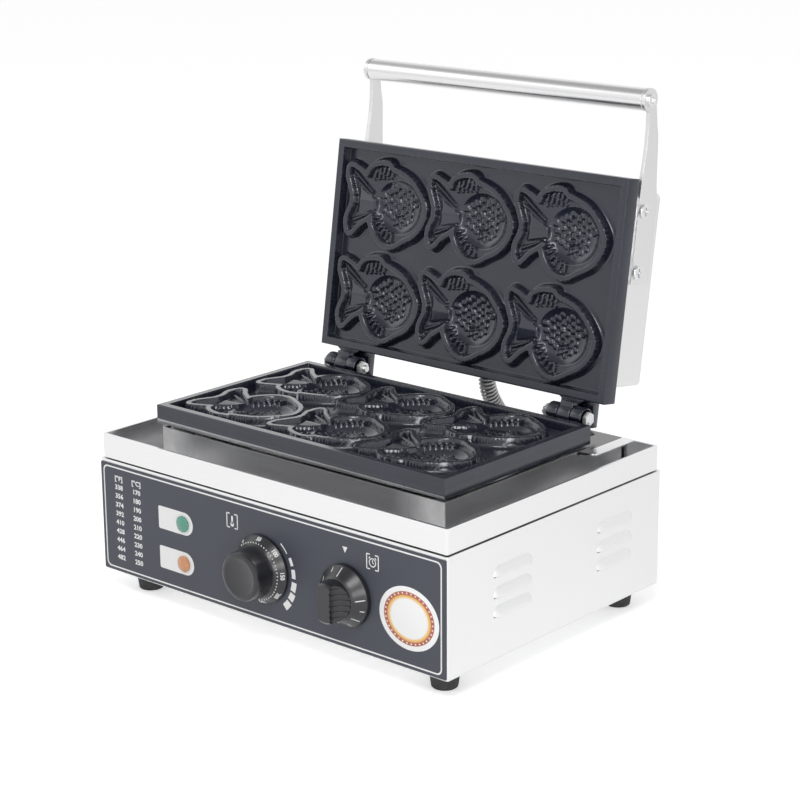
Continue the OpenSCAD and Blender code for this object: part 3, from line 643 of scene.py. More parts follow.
def moulded_plastic(name, colour, roughness, coat=0.0):
    """Moulded plastic with a fine texture."""
    f = Finish(name, colour, roughness, Coat_Weight=coat, Coat_Roughness=0.28)
    cloud = f.noise(35, 2)
    f.mottle(cloud, colour, 0.88, 1.12)
    f.put(Roughness=f.spread(cloud, roughness - 0.04, roughness + 0.05))
    f.bump(f.noise(2600, 2), 0.03 * MM, 0.5, 0.35 * MM)
    return f.material


def plated_metal(name, colour, roughness):
    """Bright plated metal with faint marks."""
    f = Finish(name, colour, roughness, metallic=0.75)
    marks = f.noise(900, 4)
    f.mottle(f.noise(120), colour, 0.86)
    f.put(Roughness=f.spread(marks, roughness - 0.04, roughness + 0.1))
    f.bump(marks, 0.01 * MM, 0.4, 0.25 * MM)
    return f.material


def printed_overlay(name, colour):
    """Satin plastic overlay with a faint sheen of its own."""
    f = Finish(name, colour, 0.42, Specular_IOR_Level=0.45)
    cloud = f.noise(9, 2)
    f.mottle(cloud, colour, 0.93, 1.06)
    f.put(Roughness=f.spread(cloud, 0.38, 0.46))
    f.bump(f.noise(3200, 1), 0.006 * MM, 0.4, 0.3 * MM)
    return f.material


def printed_ink(name, colour):
    """Printing ink, a little uneven."""
    f = Finish(name, colour, 0.5)
    speck = f.noise(2400, 2)
    f.mottle(speck, colour, 0.93)
    f.put(Roughness=f.spread(speck, 0.45, 0.55))
    return f.material


def clear_lens(name, colour):
    """Coloured lamp lens with ribs that catch the light."""
    f = Finish(name, colour, 0.22, Coat_Weight=0.6, Coat_Roughness=0.08, Subsurface_Weight=0.15)
    cells = f.add("ShaderNodeTexVoronoi", {"Vector": f.coords, "Scale": 700}).outputs["Distance"]
    rib = f.spread(cells, 0.0, 1.0, 0.1, 0.6)
    f.put(
        Base_Color=f.mix(rib, scaled(colour, 1.25), scaled(colour, 0.8)),
        Roughness=f.spread(cells, 0.18, 0.3, 0.1, 0.6),
    )
    f.bump(cells, 0.12 * MM, 0.35, 0.3 * MM)
    return f.material


def soft_rubber(name, colour):
    """Black rubber with a dusty surface."""
    f = Finish(name, colour, 0.75, Specular_IOR_Level=0.35)
    dust = f.noise(260, 4)
    f.put(
        Base_Color=f.mix(f.spread(dust, 0.0, 0.6, 0.45, 0.8), colour, scaled(colour, 2.2)),
        Roughness=f.spread(dust, 0.68, 0.85),
    )
    f.bump(f.noise(1800), 0.04 * MM, 0.5, 0.6 * MM)
    return f.material


def heated_steel(name, colour):
    """Heating element's dull tube, tinted by heat."""
    f = Finish(name, colour, 0.5, metallic=0.8)
    heat = f.noise(40)
    f.mottle(heat, colour, 1.0, 0.5)
    f.put(Roughness=f.spread(heat, 0.42, 0.6))
    f.bump(f.noise(1500), 0.02 * MM, 0.5)
    return f.material


# Settings that a user would change


def length(name, default, text):
    return bpy.props.FloatProperty(
        name=name, description=text, default=default, unit="LENGTH", subtype="DISTANCE", min=0.0
    )


def tint(name, default, text):
    return bpy.props.FloatVectorProperty(
        name=name, description=text, default=default, subtype="COLOR", size=3, min=0.0, max=1.0
    )


def share(name, default, text, high=1.0):
    return bpy.props.FloatProperty(name=name, description=text, default=default, min=0.0, max=high)


def power(name, default, text):
    return bpy.props.FloatProperty(
        name=name, description=text, default=default, subtype="POWER", min=0
    )


def count(name, default, text, low, high):
    return bpy.props.IntProperty(name=name, description=text, default=default, min=low, max=high)


class MouldSettings(bpy.types.PropertyGroup):
    """Sizes and colours of both mould plates."""

    recess: length("Recess", 8.5 * MM, "Depth of the floor under the rim")
    rim: length("Rim", 7 * MM, "Width of the rim")
    lip: length("Lip", 5.5 * MM, "Width of the lip round a fish")
    fin_depth: length("Fin Depth", 5.5 * MM, "Depth of the fins and tail")
    belly_depth: length("Belly Depth", 11.5 * MM, "Depth of the belly")
    step: length("Mesh Step", 0.78 * MM, "Size of a mesh face on the mould")
    colour: tint("Coating", (0.011, 0.0134, 0.0245), "Colour of the coating")
    worn: tint("Worn Coating", (0.05, 0.052, 0.063), "Colour of the coating where it is rubbed")
    roughness: share("Roughness", 0.24, "Roughness of the coating")


class SteelSettings(bpy.types.PropertyGroup):
    """Colours of the sheet metal and fasteners."""

    sheet: tint("Sheet", (0.82, 0.82, 0.825), "Colour of the stainless sheet")
    # The upstand's colour is darker than the sheet's: painted shade for the dark plate and tray
    # that it reflects
    upstand: tint("Upstand", (0.5, 0.5, 0.51), "Colour of the upstand's sheet")
    plated: tint("Plated Steel", (0.84, 0.84, 0.85), "Colour of screws, bolts and nuts")
    roughness: share("Roughness", 0.3, "Roughness of the sheet")


class PanelSettings(bpy.types.PropertyGroup):
    """Printed marks of the control panel."""

    overlay: tint("Overlay", (0.053, 0.058, 0.077), "Colour of the overlay")
    ink: tint("Ink", (0.86, 0.86, 0.86), "Colour of the printed marks")
    line: length("Border Line", 1.25 * MM, "Width of the border line")
    figure: length("Figure Height", 4.1 * MM, "Height of a figure in the table")
    sticker_width: length("Label Width", 59.2 * MM, "Width of the oval label")
    sticker_height: length("Label Height", 50.6 * MM, "Height of the oval label")
    green: tint("Green Lens", (0.09, 0.33, 0.24), "Colour of the upper lamp")
    orange: tint("Orange Lens", (0.68, 0.28, 0.12), "Colour of the lower lamp")


class DialSettings(bpy.types.PropertyGroup):
    """Marks and colour of the two dials."""

    plastic: tint("Plastic", (0.012, 0.0122, 0.0155), "Colour of the dials")
    dots: count("Dots", 6, "Dots from one figure to the next", 1, 12)
    figure: length("Figure Height", 3.4 * MM, "Height of a figure on the skirt")


class ConduitSettings(bpy.types.PropertyGroup):
    """Sizes of the spring between lid and box."""

    outer: length("Outer Diameter", 15.4 * MM, "Outer diameter of the spring")
    wire: length("Wire", 2.3 * MM, "Diameter of the wire")
    pitch: length("Pitch", 3.1 * MM, "Distance from curl to curl")
    rings: count("Rings", 18, "Steps round one curl", 8, 32)


class StudioSettings(bpy.types.PropertyGroup):
    """Lights, floor and camera."""

    lens: bpy.props.FloatProperty(
        name="Lens", description="Focal length in millimetres", default=99.455, min=20, max=200
    )
    sky: share("Sky", 0.58, "Light from all round", 4.0)
    backdrop: share("Backdrop", 1.0, "Brightness that the camera and reflections see", 4.0)
    ceiling: share("Ceiling", 0.45, "Brightness of what is overhead in reflections", 4.0)
    floor: share("Floor", 0.42, "What the floor adds to itself for the camera", 4.0)
    shine: share("Floor Shine", 0.3, "What the floor adds to itself in reflections", 4.0)
    key: power("Key", 13.0, "Power of the main lamp")
    strip: power("Strip", 12.0, "Power of the upright lamp on the right")
    fill: power("Fill", 3.0, "Power of the side lamp")


SETTINGS = {
    "cooker_mould": MouldSettings,
    "cooker_steel": SteelSettings,
    "cooker_panel": PanelSettings,
    "cooker_dials": DialSettings,
    "cooker_conduit": ConduitSettings,
    "cooker_studio": StudioSettings,
}


# Studio


# Where the photograph's camera stands, and its three axes
CAMERA_AT = Vector((1.16683, -1.31557, 0.67860))
CAMERA_RIGHT = Vector((0.75362, 0.65728, -0.00619))
CAMERA_UP = Vector((-0.17812, 0.21328, 0.96062))
CAMERA_BACK = Vector((0.63272, -0.72284, 0.27780))
SENSOR = 36.0
# Rise of a ray, from level to upright, where the backdrop passes into the ceiling
CEILING_EDGE = (0.6, 0.78)
FLOOR_HALF = 6.0


def area_light(name, place, target, size, strength):
    """A soft box that faces its target."""
    light = bpy.data.lights.new(name, "AREA")
    light.shape = "RECTANGLE"
    light.size, light.size_y = size
    light.energy = strength
    lamp = link(name, light)
    lamp.location = place
    lamp.rotation_mode = "QUATERNION"
    lamp.rotation_quaternion = (Vector(target) - Vector(place)).to_track_quat("-Z", "Y")


class COOKER_OT_stage(bpy.types.Operator):
    """Sets up the camera, the soft lights and the pale floor"""

    bl_idname = "cooker.stage"
    bl_label = "Studio"
    bl_options = {"REGISTER", "UNDO"}

    def execute(self, context):
        studio = context.scene.cooker_studio
        self.make_camera(context.scene, studio)
        self.make_world(context.scene, studio)
        self.make_floor(studio)
        area_light("key_light", (0.85, -1.25, 1.65), (0, 0, 0.15), (0.75, 0.6), studio.key)
        area_light("side_light", (-1.7, -0.9, 1.3), (0, 0, 0.2), (1.2, 1.2), studio.fill)
        area_light("strip_light", (2.2, -1.9, 0.75), (0, -0.1, 0.1), (0.45, 0.8), studio.strip)
        return {"FINISHED"}

    def make_camera(self, scene, studio):
        data = bpy.data.cameras.new("camera")
        data.lens, data.sensor_width = studio.lens, SENSOR
        data.clip_start, data.clip_end = 0.05, 50
        camera = link("camera", data)
        axes = Matrix((CAMERA_RIGHT, CAMERA_UP, CAMERA_BACK)).transposed()
        camera.matrix_world = Matrix.Translation(CAMERA_AT) @ axes.to_4x4()
        scene.camera = camera
        scene.view_settings.view_transform = "Standard"

    def make_world(self, scene, studio):
        """Bright all round for the camera and in reflections, dimmer overhead and as light."""
        scene.world = bpy.data.worlds.new("studio")
        scene.world.use_nodes = True
        w = Wiring(scene.world.node_tree)
        direction = w.add("ShaderNodeTexCoord").outputs["Generated"]
        height = w.add("ShaderNodeSeparateXYZ", {"Vector": direction}).outputs["Z"]
        backdrop = w.spread(
            height, studio.backdrop, studio.ceiling, *CEILING_EDGE, interpolation_type="SMOOTHSTEP"
        )
        ray = w.add("ShaderNodeLightPath").outputs
        seen = w.math("MAXIMUM", ray["Is Camera Ray"], ray["Is Glossy Ray"])
        seen = w.math("MAXIMUM", seen, ray["Is Transmission Ray"])
        background = w.tree.nodes["Background"].inputs
        w.feed(background["Color"], (1, 1, 1, 1))
        w.feed(background["Strength"], w.spread(seen, studio.sky, backdrop, 0, 1))

    def make_floor(self, studio):
        f = Finish(
            "studio_floor", (0.95, 0.95, 0.95), 0.9, Specular_IOR_Level=0.1,
            Emission_Color=(1, 1, 1, 1),
        )
        ray = f.add("ShaderNodeLightPath").outputs
        seen = f.times(ray["Is Camera Ray"], studio.floor)
        f.put(Emission_Strength=f.math("MULTIPLY_ADD", ray["Is Glossy Ray"], studio.shine, seen))
        corners = [(-1, -1, 0), (1, -1, 0), (1, 1, 0), (-1, 1, 0)]
        sheet = Shape(corners, [(0, 1, 2, 3)]).moved(Matrix.Scale(FLOOR_HALF, 4))
        floor = make_object("floor", sheet, f.material)


# Conduit


CABLE_R = 3.4
ROUTE_STEPS = 8
# The conduit's start at the lid, in the lid's own frame
LID_END = ((0, 45, 3), (0, 45, -5))
# Its route on to the back of the box, in millimetres from the hinge line
ROUTE = [
    (0.6, 47.5, -7.8), (1.8, 50.2, -17.3), (3.2, 54.8, -26.3), (4.6, 60.2, -34.8), (6, 65.6, -43.3),
    (7.6, 70.8, -54.3), (9, 73.9, -65.8), (10.2, 72, -77.3), (11.2, 65.6, -87.3),
    (11.8, 55.9, -93.3), (12, 45.9, -95.3),
]


class COOKER_OT_conduit(bpy.types.Operator):
    """Winds the steel spring and lays the cable in it"""

    bl_idname = "cooker.conduit"
    bl_label = "Conduit"
    bl_options = {"REGISTER", "UNDO"}

    def execute(self, context):
        sizes = context.scene.cooker_conduit
        dull = scaled(rgb(context.scene.cooker_steel.plated), 0.6)
        inputs = {
            "Coil Radius": (sizes.outer - sizes.wire) / 2,
            "Wire Radius": sizes.wire / 2,
            "Pitch": sizes.pitch,
            "Rings": sizes.rings,
            "Material": plated_metal("conduit_steel", dull, 0.34),
        }
        route = self.route()
        spring = grow("conduit_spring_wire", self.curve(route), wound_tree(), inputs, smooth=60)
        self.tie(spring, "plated_steel", "conduit_spring")
        jacket = soft_rubber("cable_jacket", (0.11, 0.11, 0.113))
        cable = make_object("lid_cable_jacket", tube(route, CABLE_R * MM, 12), jacket, smooth=60)
        self.tie(cable, "cable_jacket", "lid_cable")
        return {"FINISHED"}

    def tie(self, piece, slot, node):
        """Bakes the piece's place into its mesh and hides the frame piece it stands for."""
        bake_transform(piece)
        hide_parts(node)

    def route(self):
        """Smooth points from the lid's gland to the box's gland."""
        knots = [LID @ (Vector(p) * MM) for p in LID_END]
        knots += [HINGE + Vector(p) * MM for p in ROUTE]
        p = [2 * knots[0] - knots[1], *knots, 2 * knots[-1] - knots[-2]]
        path = [
            between(*four, i / ROUTE_STEPS)
            for four in zip(p, p[1:], p[2:], p[3:])
            for i in range(ROUTE_STEPS)
        ]
        return path + [knots[-1]]

    def curve(self, points):
        """The route as a poly curve object."""
        data = bpy.data.curves.new("conduit_route", "CURVE")
        data.dimensions = "3D"
        data.twist_mode = "MINIMUM"
        line = data.splines.new("POLY")
        line.points.add(len(points) - 1)
        for spot, point in zip(line.points, points):
            spot.co = (*point, 1)
        return link("conduit_route", data)


def between(a, b, c, d, t):
    """A point between b and c on the smooth curve through four points."""
    return 0.5 * (
        2 * b + (c - a) * t + (2 * a - 5 * b + 4 * c - d) * t**2 + (3 * b - a - 3 * c + d) * t**3
    )


# Mould plates, drawn in millimetres


PLATE_W = 314
PLATE_L = 184
FISH_X = (-94.6, 0, 95.5)
FISH_V = (49, 132.5)
FISH = [
    (-45, 28), (-34, 24.5), (-25.5, 21), (-22, 27.5), (-14, 32), (-3, 33), (3, 28.5), (11, 26.5),
    (23, 21.5), (34, 11.5), (41, 0), (38.5, -12), (30, -22), (20, -27.5), (7.5, -34), (-3, -32.5),
    (-11, -26), (-16.5, -17), (-16.5, -9.5), (-23, -13), (-32.5, -19.5), (-42, -28), (-44.5, -17.5),
    (-40, -6), (-39.5, 3.5), (-43.5, 13.5), (-46.5, 21),
]
BELLY_AT = (9.5, -1.5)
BELLY_REACH = (31, 28)
EYE_AT = (27, 4)
GILL_AT = (-6, 0)
TAIL_RIBS = (
    ((-43, 24.5), (-20, 8.5)), ((-41, 17.5), (-20, 5.5)), ((-40.5, -18), (-18.5, -9)),
    ((-41.5, -25), (-18, -12.5)),
)
TAIL_PAD = ((-15, 3), (-37.5, 12.5), (-35.5, 5), (-35.5, -3), (-37.5, -12), (-15, -7))
# Distances outside a fish where the coating is worn: the two edges of its lip
WORN_AT = (0.4, 4.9)


def closed_curve(points, steps):
    """A smooth closed outline through the points."""
    p = [np.array(q, float) for q in points]
    n = len(p)
    return np.array([
        between(p[i - 1], p[i], p[(i + 1) % n], p[(i + 2) % n], k / steps)
        for i in range(n) for k in range(steps)
    ])


def step_up(value, low, high):
    """Rises smoothly from 0 to 1 as the value goes from low to high."""
    t = np.clip((value - low) / (high - low), 0, 1)
    return t * t * (3 - 2 * t)


def outline_distance(x, y, outline):
    """Distance to the outline, negative inside."""
    best = np.full(x.shape, 1e9)
    inside = np.zeros(x.shape, bool)
    for (ax, ay), (bx, by) in zip(outline, np.roll(outline, -1, axis=0)):
        ex, ey = bx - ax, by - ay
        t = np.clip(((x - ax) * ex + (y - ay) * ey) / (ex * ex + ey * ey), 0, 1)
        best = np.minimum(best, (x - ax - t * ex) ** 2 + (y - ay - t * ey) ** 2)
        crosses = (ay > y) != (by > y)
        inside ^= crosses & (x < ex * (y - ay) / (ey if ey else 1e-9) + ax)
    return np.where(inside, -1, 1) * np.sqrt(best)


def bar(x, y, start, end, width, height):
    """A round-backed bar between two points, narrower at its end."""
    ex, ey = end[0] - start[0], end[1] - start[1]
    t = np.clip(((x - start[0]) * ex + (y - start[1]) * ey) / (ex * ex + ey * ey), 0, 1)
    away = np.hypot(x - start[0] - t * ex, y - start[1] - t * ey)
    return dome(away / (width / 2 * (1 - 0.25 * t)), height)


def fins(x, y):
    """Ribs of the back fin, the belly fin and the tail."""
    ribs = [((-18.7 + 4.9 * i, 30 + 0.7 * i), (-19.5 + 4.9 * i, 20 + 0.7 * i), 3.2, 2.8)
            for i in range(5)]
    for i in range(6):
        turn = math.radians(203 + 12 * i)
        near, far = [(8 + r * math.cos(turn), -4 + r * math.sin(turn)) for r in (21.5, 30)]
        ribs.append((far, near, 3.6, 2.8))
    ribs += [(tip, root, 3.2, 2.6) for tip, root in TAIL_RIBS]
    pad = outline_distance(x, y, TAIL_PAD)
    ridge = 2.9 - 0.2 * np.abs(y)
    tail = ridge * (1 - step_up(pad, -1.4, 0.4))
    return np.maximum.reduce([*(bar(x, y, *rib) for rib in ribs), tail])


def dome(away, height):
    """A half ball's height where the distance from its middle is under one."""
    return height * np.sqrt(np.clip(1 - away**2, 0, 1))


def skin(x, y):
    """Scales behind the gill, the gill itself, the side fin, the eye and the mouth."""
    relief = [bar(x, y, (38.5, -4.5), (31, -6.5), 1.8, 1.0)]
    for row in range(7):
        for i in range(7):
            cx = -10 + 5 * row + 0.45 * math.sin(7 * row + 3 * i)
            cy = -17.5 + 5.9 * i + (row % 2) * 2.95 + 0.45 * math.cos(5 * row + 2 * i)
            if math.hypot(cx - 7, cy) > 18.5:
                continue
            size = 2.9 + 0.35 * math.sin(4 * row + 5 * i)
            lean = 0.72 + 0.28 * (x - cx) / size
            relief.append(lean * dome(np.hypot(x - cx, y - cy) / size, 0.8 * size))
    gill = np.hypot(x - GILL_AT[0], y - GILL_AT[1])
    turn = np.degrees(np.arctan2(y - GILL_AT[1], x - GILL_AT[0]))
    relief.append(dome((gill - 25) / 1.3, 1.2) * (np.abs(turn) < 42))
    relief += [bar(x, y, (14, -7 - 2.6 * i), (3, -9 - 4.2 * i), 2.4, 2.3) for i in range(3)]
    eye = np.hypot(x - EYE_AT[0], y - EYE_AT[1])
    relief += [dome((eye - 2.7) / 0.9, 1.5), dome(eye / 1.5, 1.7)]
    return np.maximum.reduce(relief)


class MouldFace:
    """The face of a mould plate as heights over its rim."""

    def __init__(self, sizes):
        self.floor = -sizes.recess / MM
        self.rim = sizes.rim / MM
        self.lip = sizes.lip / MM
        self.fin = sizes.fin_depth / MM
        self.belly = sizes.belly_depth / MM
        self.step = sizes.step / MM
        self.outline = closed_curve(FISH, 5)

    def lines(self, low, high):
        """Grid lines from edge to edge, close together where the rim's edges are."""
        edge = [0, 0.25, 0.7, 1.2]
        wall = [self.rim + d for d in (-0.8, -0.3, 0, 0.35, 0.8, 1.3)]
        start = [low + d for d in edge + wall]
        end = [high - d for d in reversed(edge + wall)]
        inner = np.arange(start[-1] + self.step, end[0] - 0.4 * self.step, self.step)
        return np.array([*start, *inner, *end])

    def heights(self, x, v):
        """Height over the rim face, and how worn the coating is there."""
        side = np.minimum.reduce([x + PLATE_W / 2, PLATE_W / 2 - x, v, PLATE_L - v])
        z = self.floor * step_up(side, self.rim - 0.2, self.rim + 0.9)
        z = z - 0.5 * (1 - step_up(side, 0, 0.7)) ** 2
        wear = 0.4 * (1 - step_up(np.abs(side - self.rim + 0.3), 0.2, 1.0))
        for fx in FISH_X:
            for fv in FISH_V:
                near = (np.abs(x - fx + 2) < 53) & (np.abs(v - fv) < 43)
                px, py = (x - fx)[near], (v - fv)[near]
                away = outline_distance(px, py, self.outline)
                z[near] = self.one_fish(px, py, away, z[near])
                edges = sum(np.exp(-(((away - at) / 0.6) ** 2)) for at in WORN_AT)
                wear[near] = np.maximum(wear[near], edges)
        return z, np.clip(wear, 0, 1)

    def one_fish(self, x, y, away, z):
        """Lip and cup of one fish over the floor."""
        lip = -0.4 - 0.25 * step_up(np.abs(away - self.lip / 2), 1.6, 2.75) ** 2
        fillet = 0.3 * np.clip(1 - (away - 5.4) / 2.8, 0, 1) ** 2
        wall = np.maximum(1 - step_up(away, 4.9, 6.2), fillet)
        z = np.maximum(z, self.floor + (lip - self.floor) * wall)
        reach = np.hypot((x - BELLY_AT[0]) / BELLY_REACH[0], (y - BELLY_AT[1]) / BELLY_REACH[1])
        bowl = -self.belly * (1 - np.clip(reach, 0, 1.3) ** 4)
        bowl = bowl + skin(x, y) * (1 - step_up(reach, 0.74, 0.9))
        cup = np.minimum(-self.fin, bowl) + fins(x, y) * step_up(-away, 0.5, 1.6)
        return z + (cup - z) * step_up(-away, -0.3, 1.1)

    def shape(self, thickness):
        """The whole plate as one closed block."""
        xs = self.lines(-PLATE_W / 2, PLATE_W / 2)
        vs = self.lines(0, PLATE_L)
        x, v = np.meshgrid(xs, vs)
        z, wear = self.heights(x, v)
        columns, rows = len(xs), len(vs)
        verts = np.stack([x, v, z], axis=-1).reshape(-1, 3)
        corner = np.arange(rows * columns).reshape(rows, columns)
        quads = np.stack(
            [corner[:-1, :-1], corner[:-1, 1:], corner[1:, 1:], corner[1:, :-1]], axis=-1
        ).reshape(-1, 4)
        edge = [*corner[0, :], *corner[1:, -1], *corner[-1, -2::-1], *corner[-2:0:-1, 0]]
        start = len(verts)
        below = [(verts[i][0], verts[i][1], -thickness) for i in edge]
        shape = Shape(np.concatenate([verts, below]) * MM, quads.tolist())
        n = len(edge)
        for i in range(n):
            j = (i + 1) % n
            shape.faces.append((edge[j], edge[i], start + i, start + j))
        shape.faces.append(tuple(start + i for i in reversed(range(n))))
        return shape, np.concatenate([wear.ravel(), np.zeros(n)])


# Hinge lugs, in millimetres
LUG_IN = 106.5
LUG_OUT = 142
LUG_T = 11
LUG_R = 9.2
LUG_GAP = 0.4
STOP_DROP = 9.2
STOP_T = 8
BOLT_HEAD_R = 6.3
BOLT_R = 3.2
THREAD_DEPTH = 0.5
HALF_PITCH = 0.36


def lug(x0, x1, radius, low, back, front):
    """A knuckle along X with a web down to the plate: round above, square below."""
    web = [(front, low), (back, low), *arc((0, 0), radius, 0, 180, 20)]
    along = Matrix(((0, 0, 1, 0), (1, 0, 0, 0), (0, 1, 0, 0), (0, 0, 0, 1)))
    solid = prism([(y * MM, z * MM) for y, z in web], x0 * MM, x1 * MM).moved(along)
    return bevelled(solid, 1.5 * MM, 3)


def on_both_sides(shape):
    """The shape and its mirror image across the middle."""
    return Shape().add(shape).add(shape, Matrix.Diagonal((-1, 1, 1, 1)))


def soft_block(low, high, radius, steps=2):
    """A box between two corners in millimetres, with round edges."""
    corners = [[c * MM for c in corner] for corner in (low, high)]
    return bevelled(block(*corners), radius * MM, steps)


class COOKER_OT_moulds(bpy.types.Operator):
    """Casts the upper and the lower mould plate with their fish"""

    bl_idname = "cooker.moulds"
    bl_label = "Mould Plates"
    bl_options = {"REGISTER", "UNDO"}

    def execute(self, context):
        sizes = context.scene.cooker_mould
        face = MouldFace(sizes)
        coating = cast_coating("cast_coating", rgb(sizes.colour), sizes.roughness, rgb(sizes.worn))
        for name, body, thickness, place, lugs in (
            ("upper", "lid", 15, UPPER_MOULD, self.upper_lugs()),
            ("lower", "base", 16, LOWER_MOULD, self.lower_lugs()),
        ):
            plate, wear = face.shape(thickness)
            whole = plate.moved(place).add(lugs)
            piece = make_object(name + "_mould_plate", whole, coating, smooth=50)
            layer = piece.data.attributes.new("wear", "FLOAT", "POINT")
            values = np.zeros(len(piece.data.vertices), np.float32)
            values[: len(wear)] = wear
            layer.data.foreach_set("value", values)
            seat(piece, body, "cast_plate", name + "_plate")
        return {"FINISHED"}

    def lower_lugs(self):
        """Two knuckles at each hinge, standing on the back of the lower plate."""
        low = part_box("lower_plate")[0].z / MM - HINGE.z / MM
        pair = Shape()
        for x0 in (LUG_IN, LUG_OUT - LUG_T):
            pair.add(lug(x0, x0 + LUG_T, LUG_R, low, -MOULD_BACK / MM - 2, LUG_R))
        return on_both_sides(pair).moved(Matrix.Translation(HINGE))

    def upper_lugs(self):
        """One wide knuckle at each hinge and the block behind that stops the lid."""
        x0, x1 = LUG_IN + LUG_T + LUG_GAP, LUG_OUT - LUG_T - LUG_GAP
        stop = (LUG_R + FACE_GAP / MM + STOP_DROP * math.sin(LEAN)) / math.cos(LEAN)
        back = MOULD_BACK / MM
        barrel = pin(LUG_R * MM, x0 * MM, x1 * MM, 40).moved(Matrix.Rotation(math.pi / 2, 4, "Y"))
        side = bevelled(barrel, 1.4 * MM, 3)
        side.add(soft_block((x0, -5, 0), (x1, stop + 1, back - 2), 0.8))
        side.add(soft_block((x0, 1.9, 0), (x1, stop + 1, back + 1), 0.8))
        far = (LUG_OUT - 1.2, stop + STOP_T, back + 7)
        side.add(soft_block((LUG_IN, stop, -STOP_DROP), far, 1.2, 3))
        corners = [(x0 - 6.5, back), (x0, LUG_R + 0.5), (x1, LUG_R + 0.5), (x1 + 6.5, back)]
        gusset = prism([(x * MM, z * MM) for x, z in corners], -(stop + 1) * MM, -1.9 * MM)
        side.add(gusset, Matrix(((1, 0, 0, 0), (0, 0, -1, 0), (0, 1, 0, 0), (0, 0, 0, 1))))
        place = Matrix.Translation(HINGE) @ Matrix.Rotation(-LEAN, 4, "X")
        return on_both_sides(side).moved(place)


# Fasteners


SIDES = ((1, "right"), (-1, "left"))
ARM_OUT = 151
SHANK_FOOT = -4 * MM


def hexagon(radius, low, high):
    """A hexagonal head or nut with its corners turned off."""
    outline = arc((0, 0), radius, 0, 300, 5)
    return bevelled(prism(outline, low, high), (high - low) * 0.14, 2, angle=70)


def cross_slot(radius, depth):
    """A cross to cut into a screw head."""
    arm, half = radius * 0.62, radius * 0.13
    outline = []
    for k in range(4):
        turn = math.radians(90 * k)
        c, s = math.cos(turn), math.sin(turn)
        for x, y in ((arm, -half), (arm, half), (half, half)):
            outline.append((x * c - y * s, x * s + y * c))
    return prism(outline, -depth, depth)


def cut(shape, tool, height):
    """The shape with the tool's form taken out of it at that height."""
    body = make_object("cut_body", shape)
    knife = make_object("cut_tool", tool.moved(Matrix.Translation((0, 0, height))))
    modifier = body.modifiers.new("cut", "BOOLEAN")
    modifier.object = knife
    modifier.operation = "DIFFERENCE"
    modifier.solver = "EXACT"
    result = Shape.of_object(body)
    drop(knife)
    return result


def pan_head(radius, height):
    """A domed screw head along Z with a cross in it, and a short shank."""
    shank = radius * 0.42
    profile = [(0, SHANK_FOOT), (shank, SHANK_FOOT), (shank, 0), (radius, 0)]
    for i in range(9):
        turn = math.radians(90 * i / 8)
        out, up = 0.62 + 0.38 * math.cos(turn), 0.35 + 0.65 * math.sin(turn)
        profile.append((radius * out, height * up))
    profile += [(radius * 0.3, height), (0, height)]
    return cut(lathe(profile, 40), cross_slot(radius, height * 0.55), height)


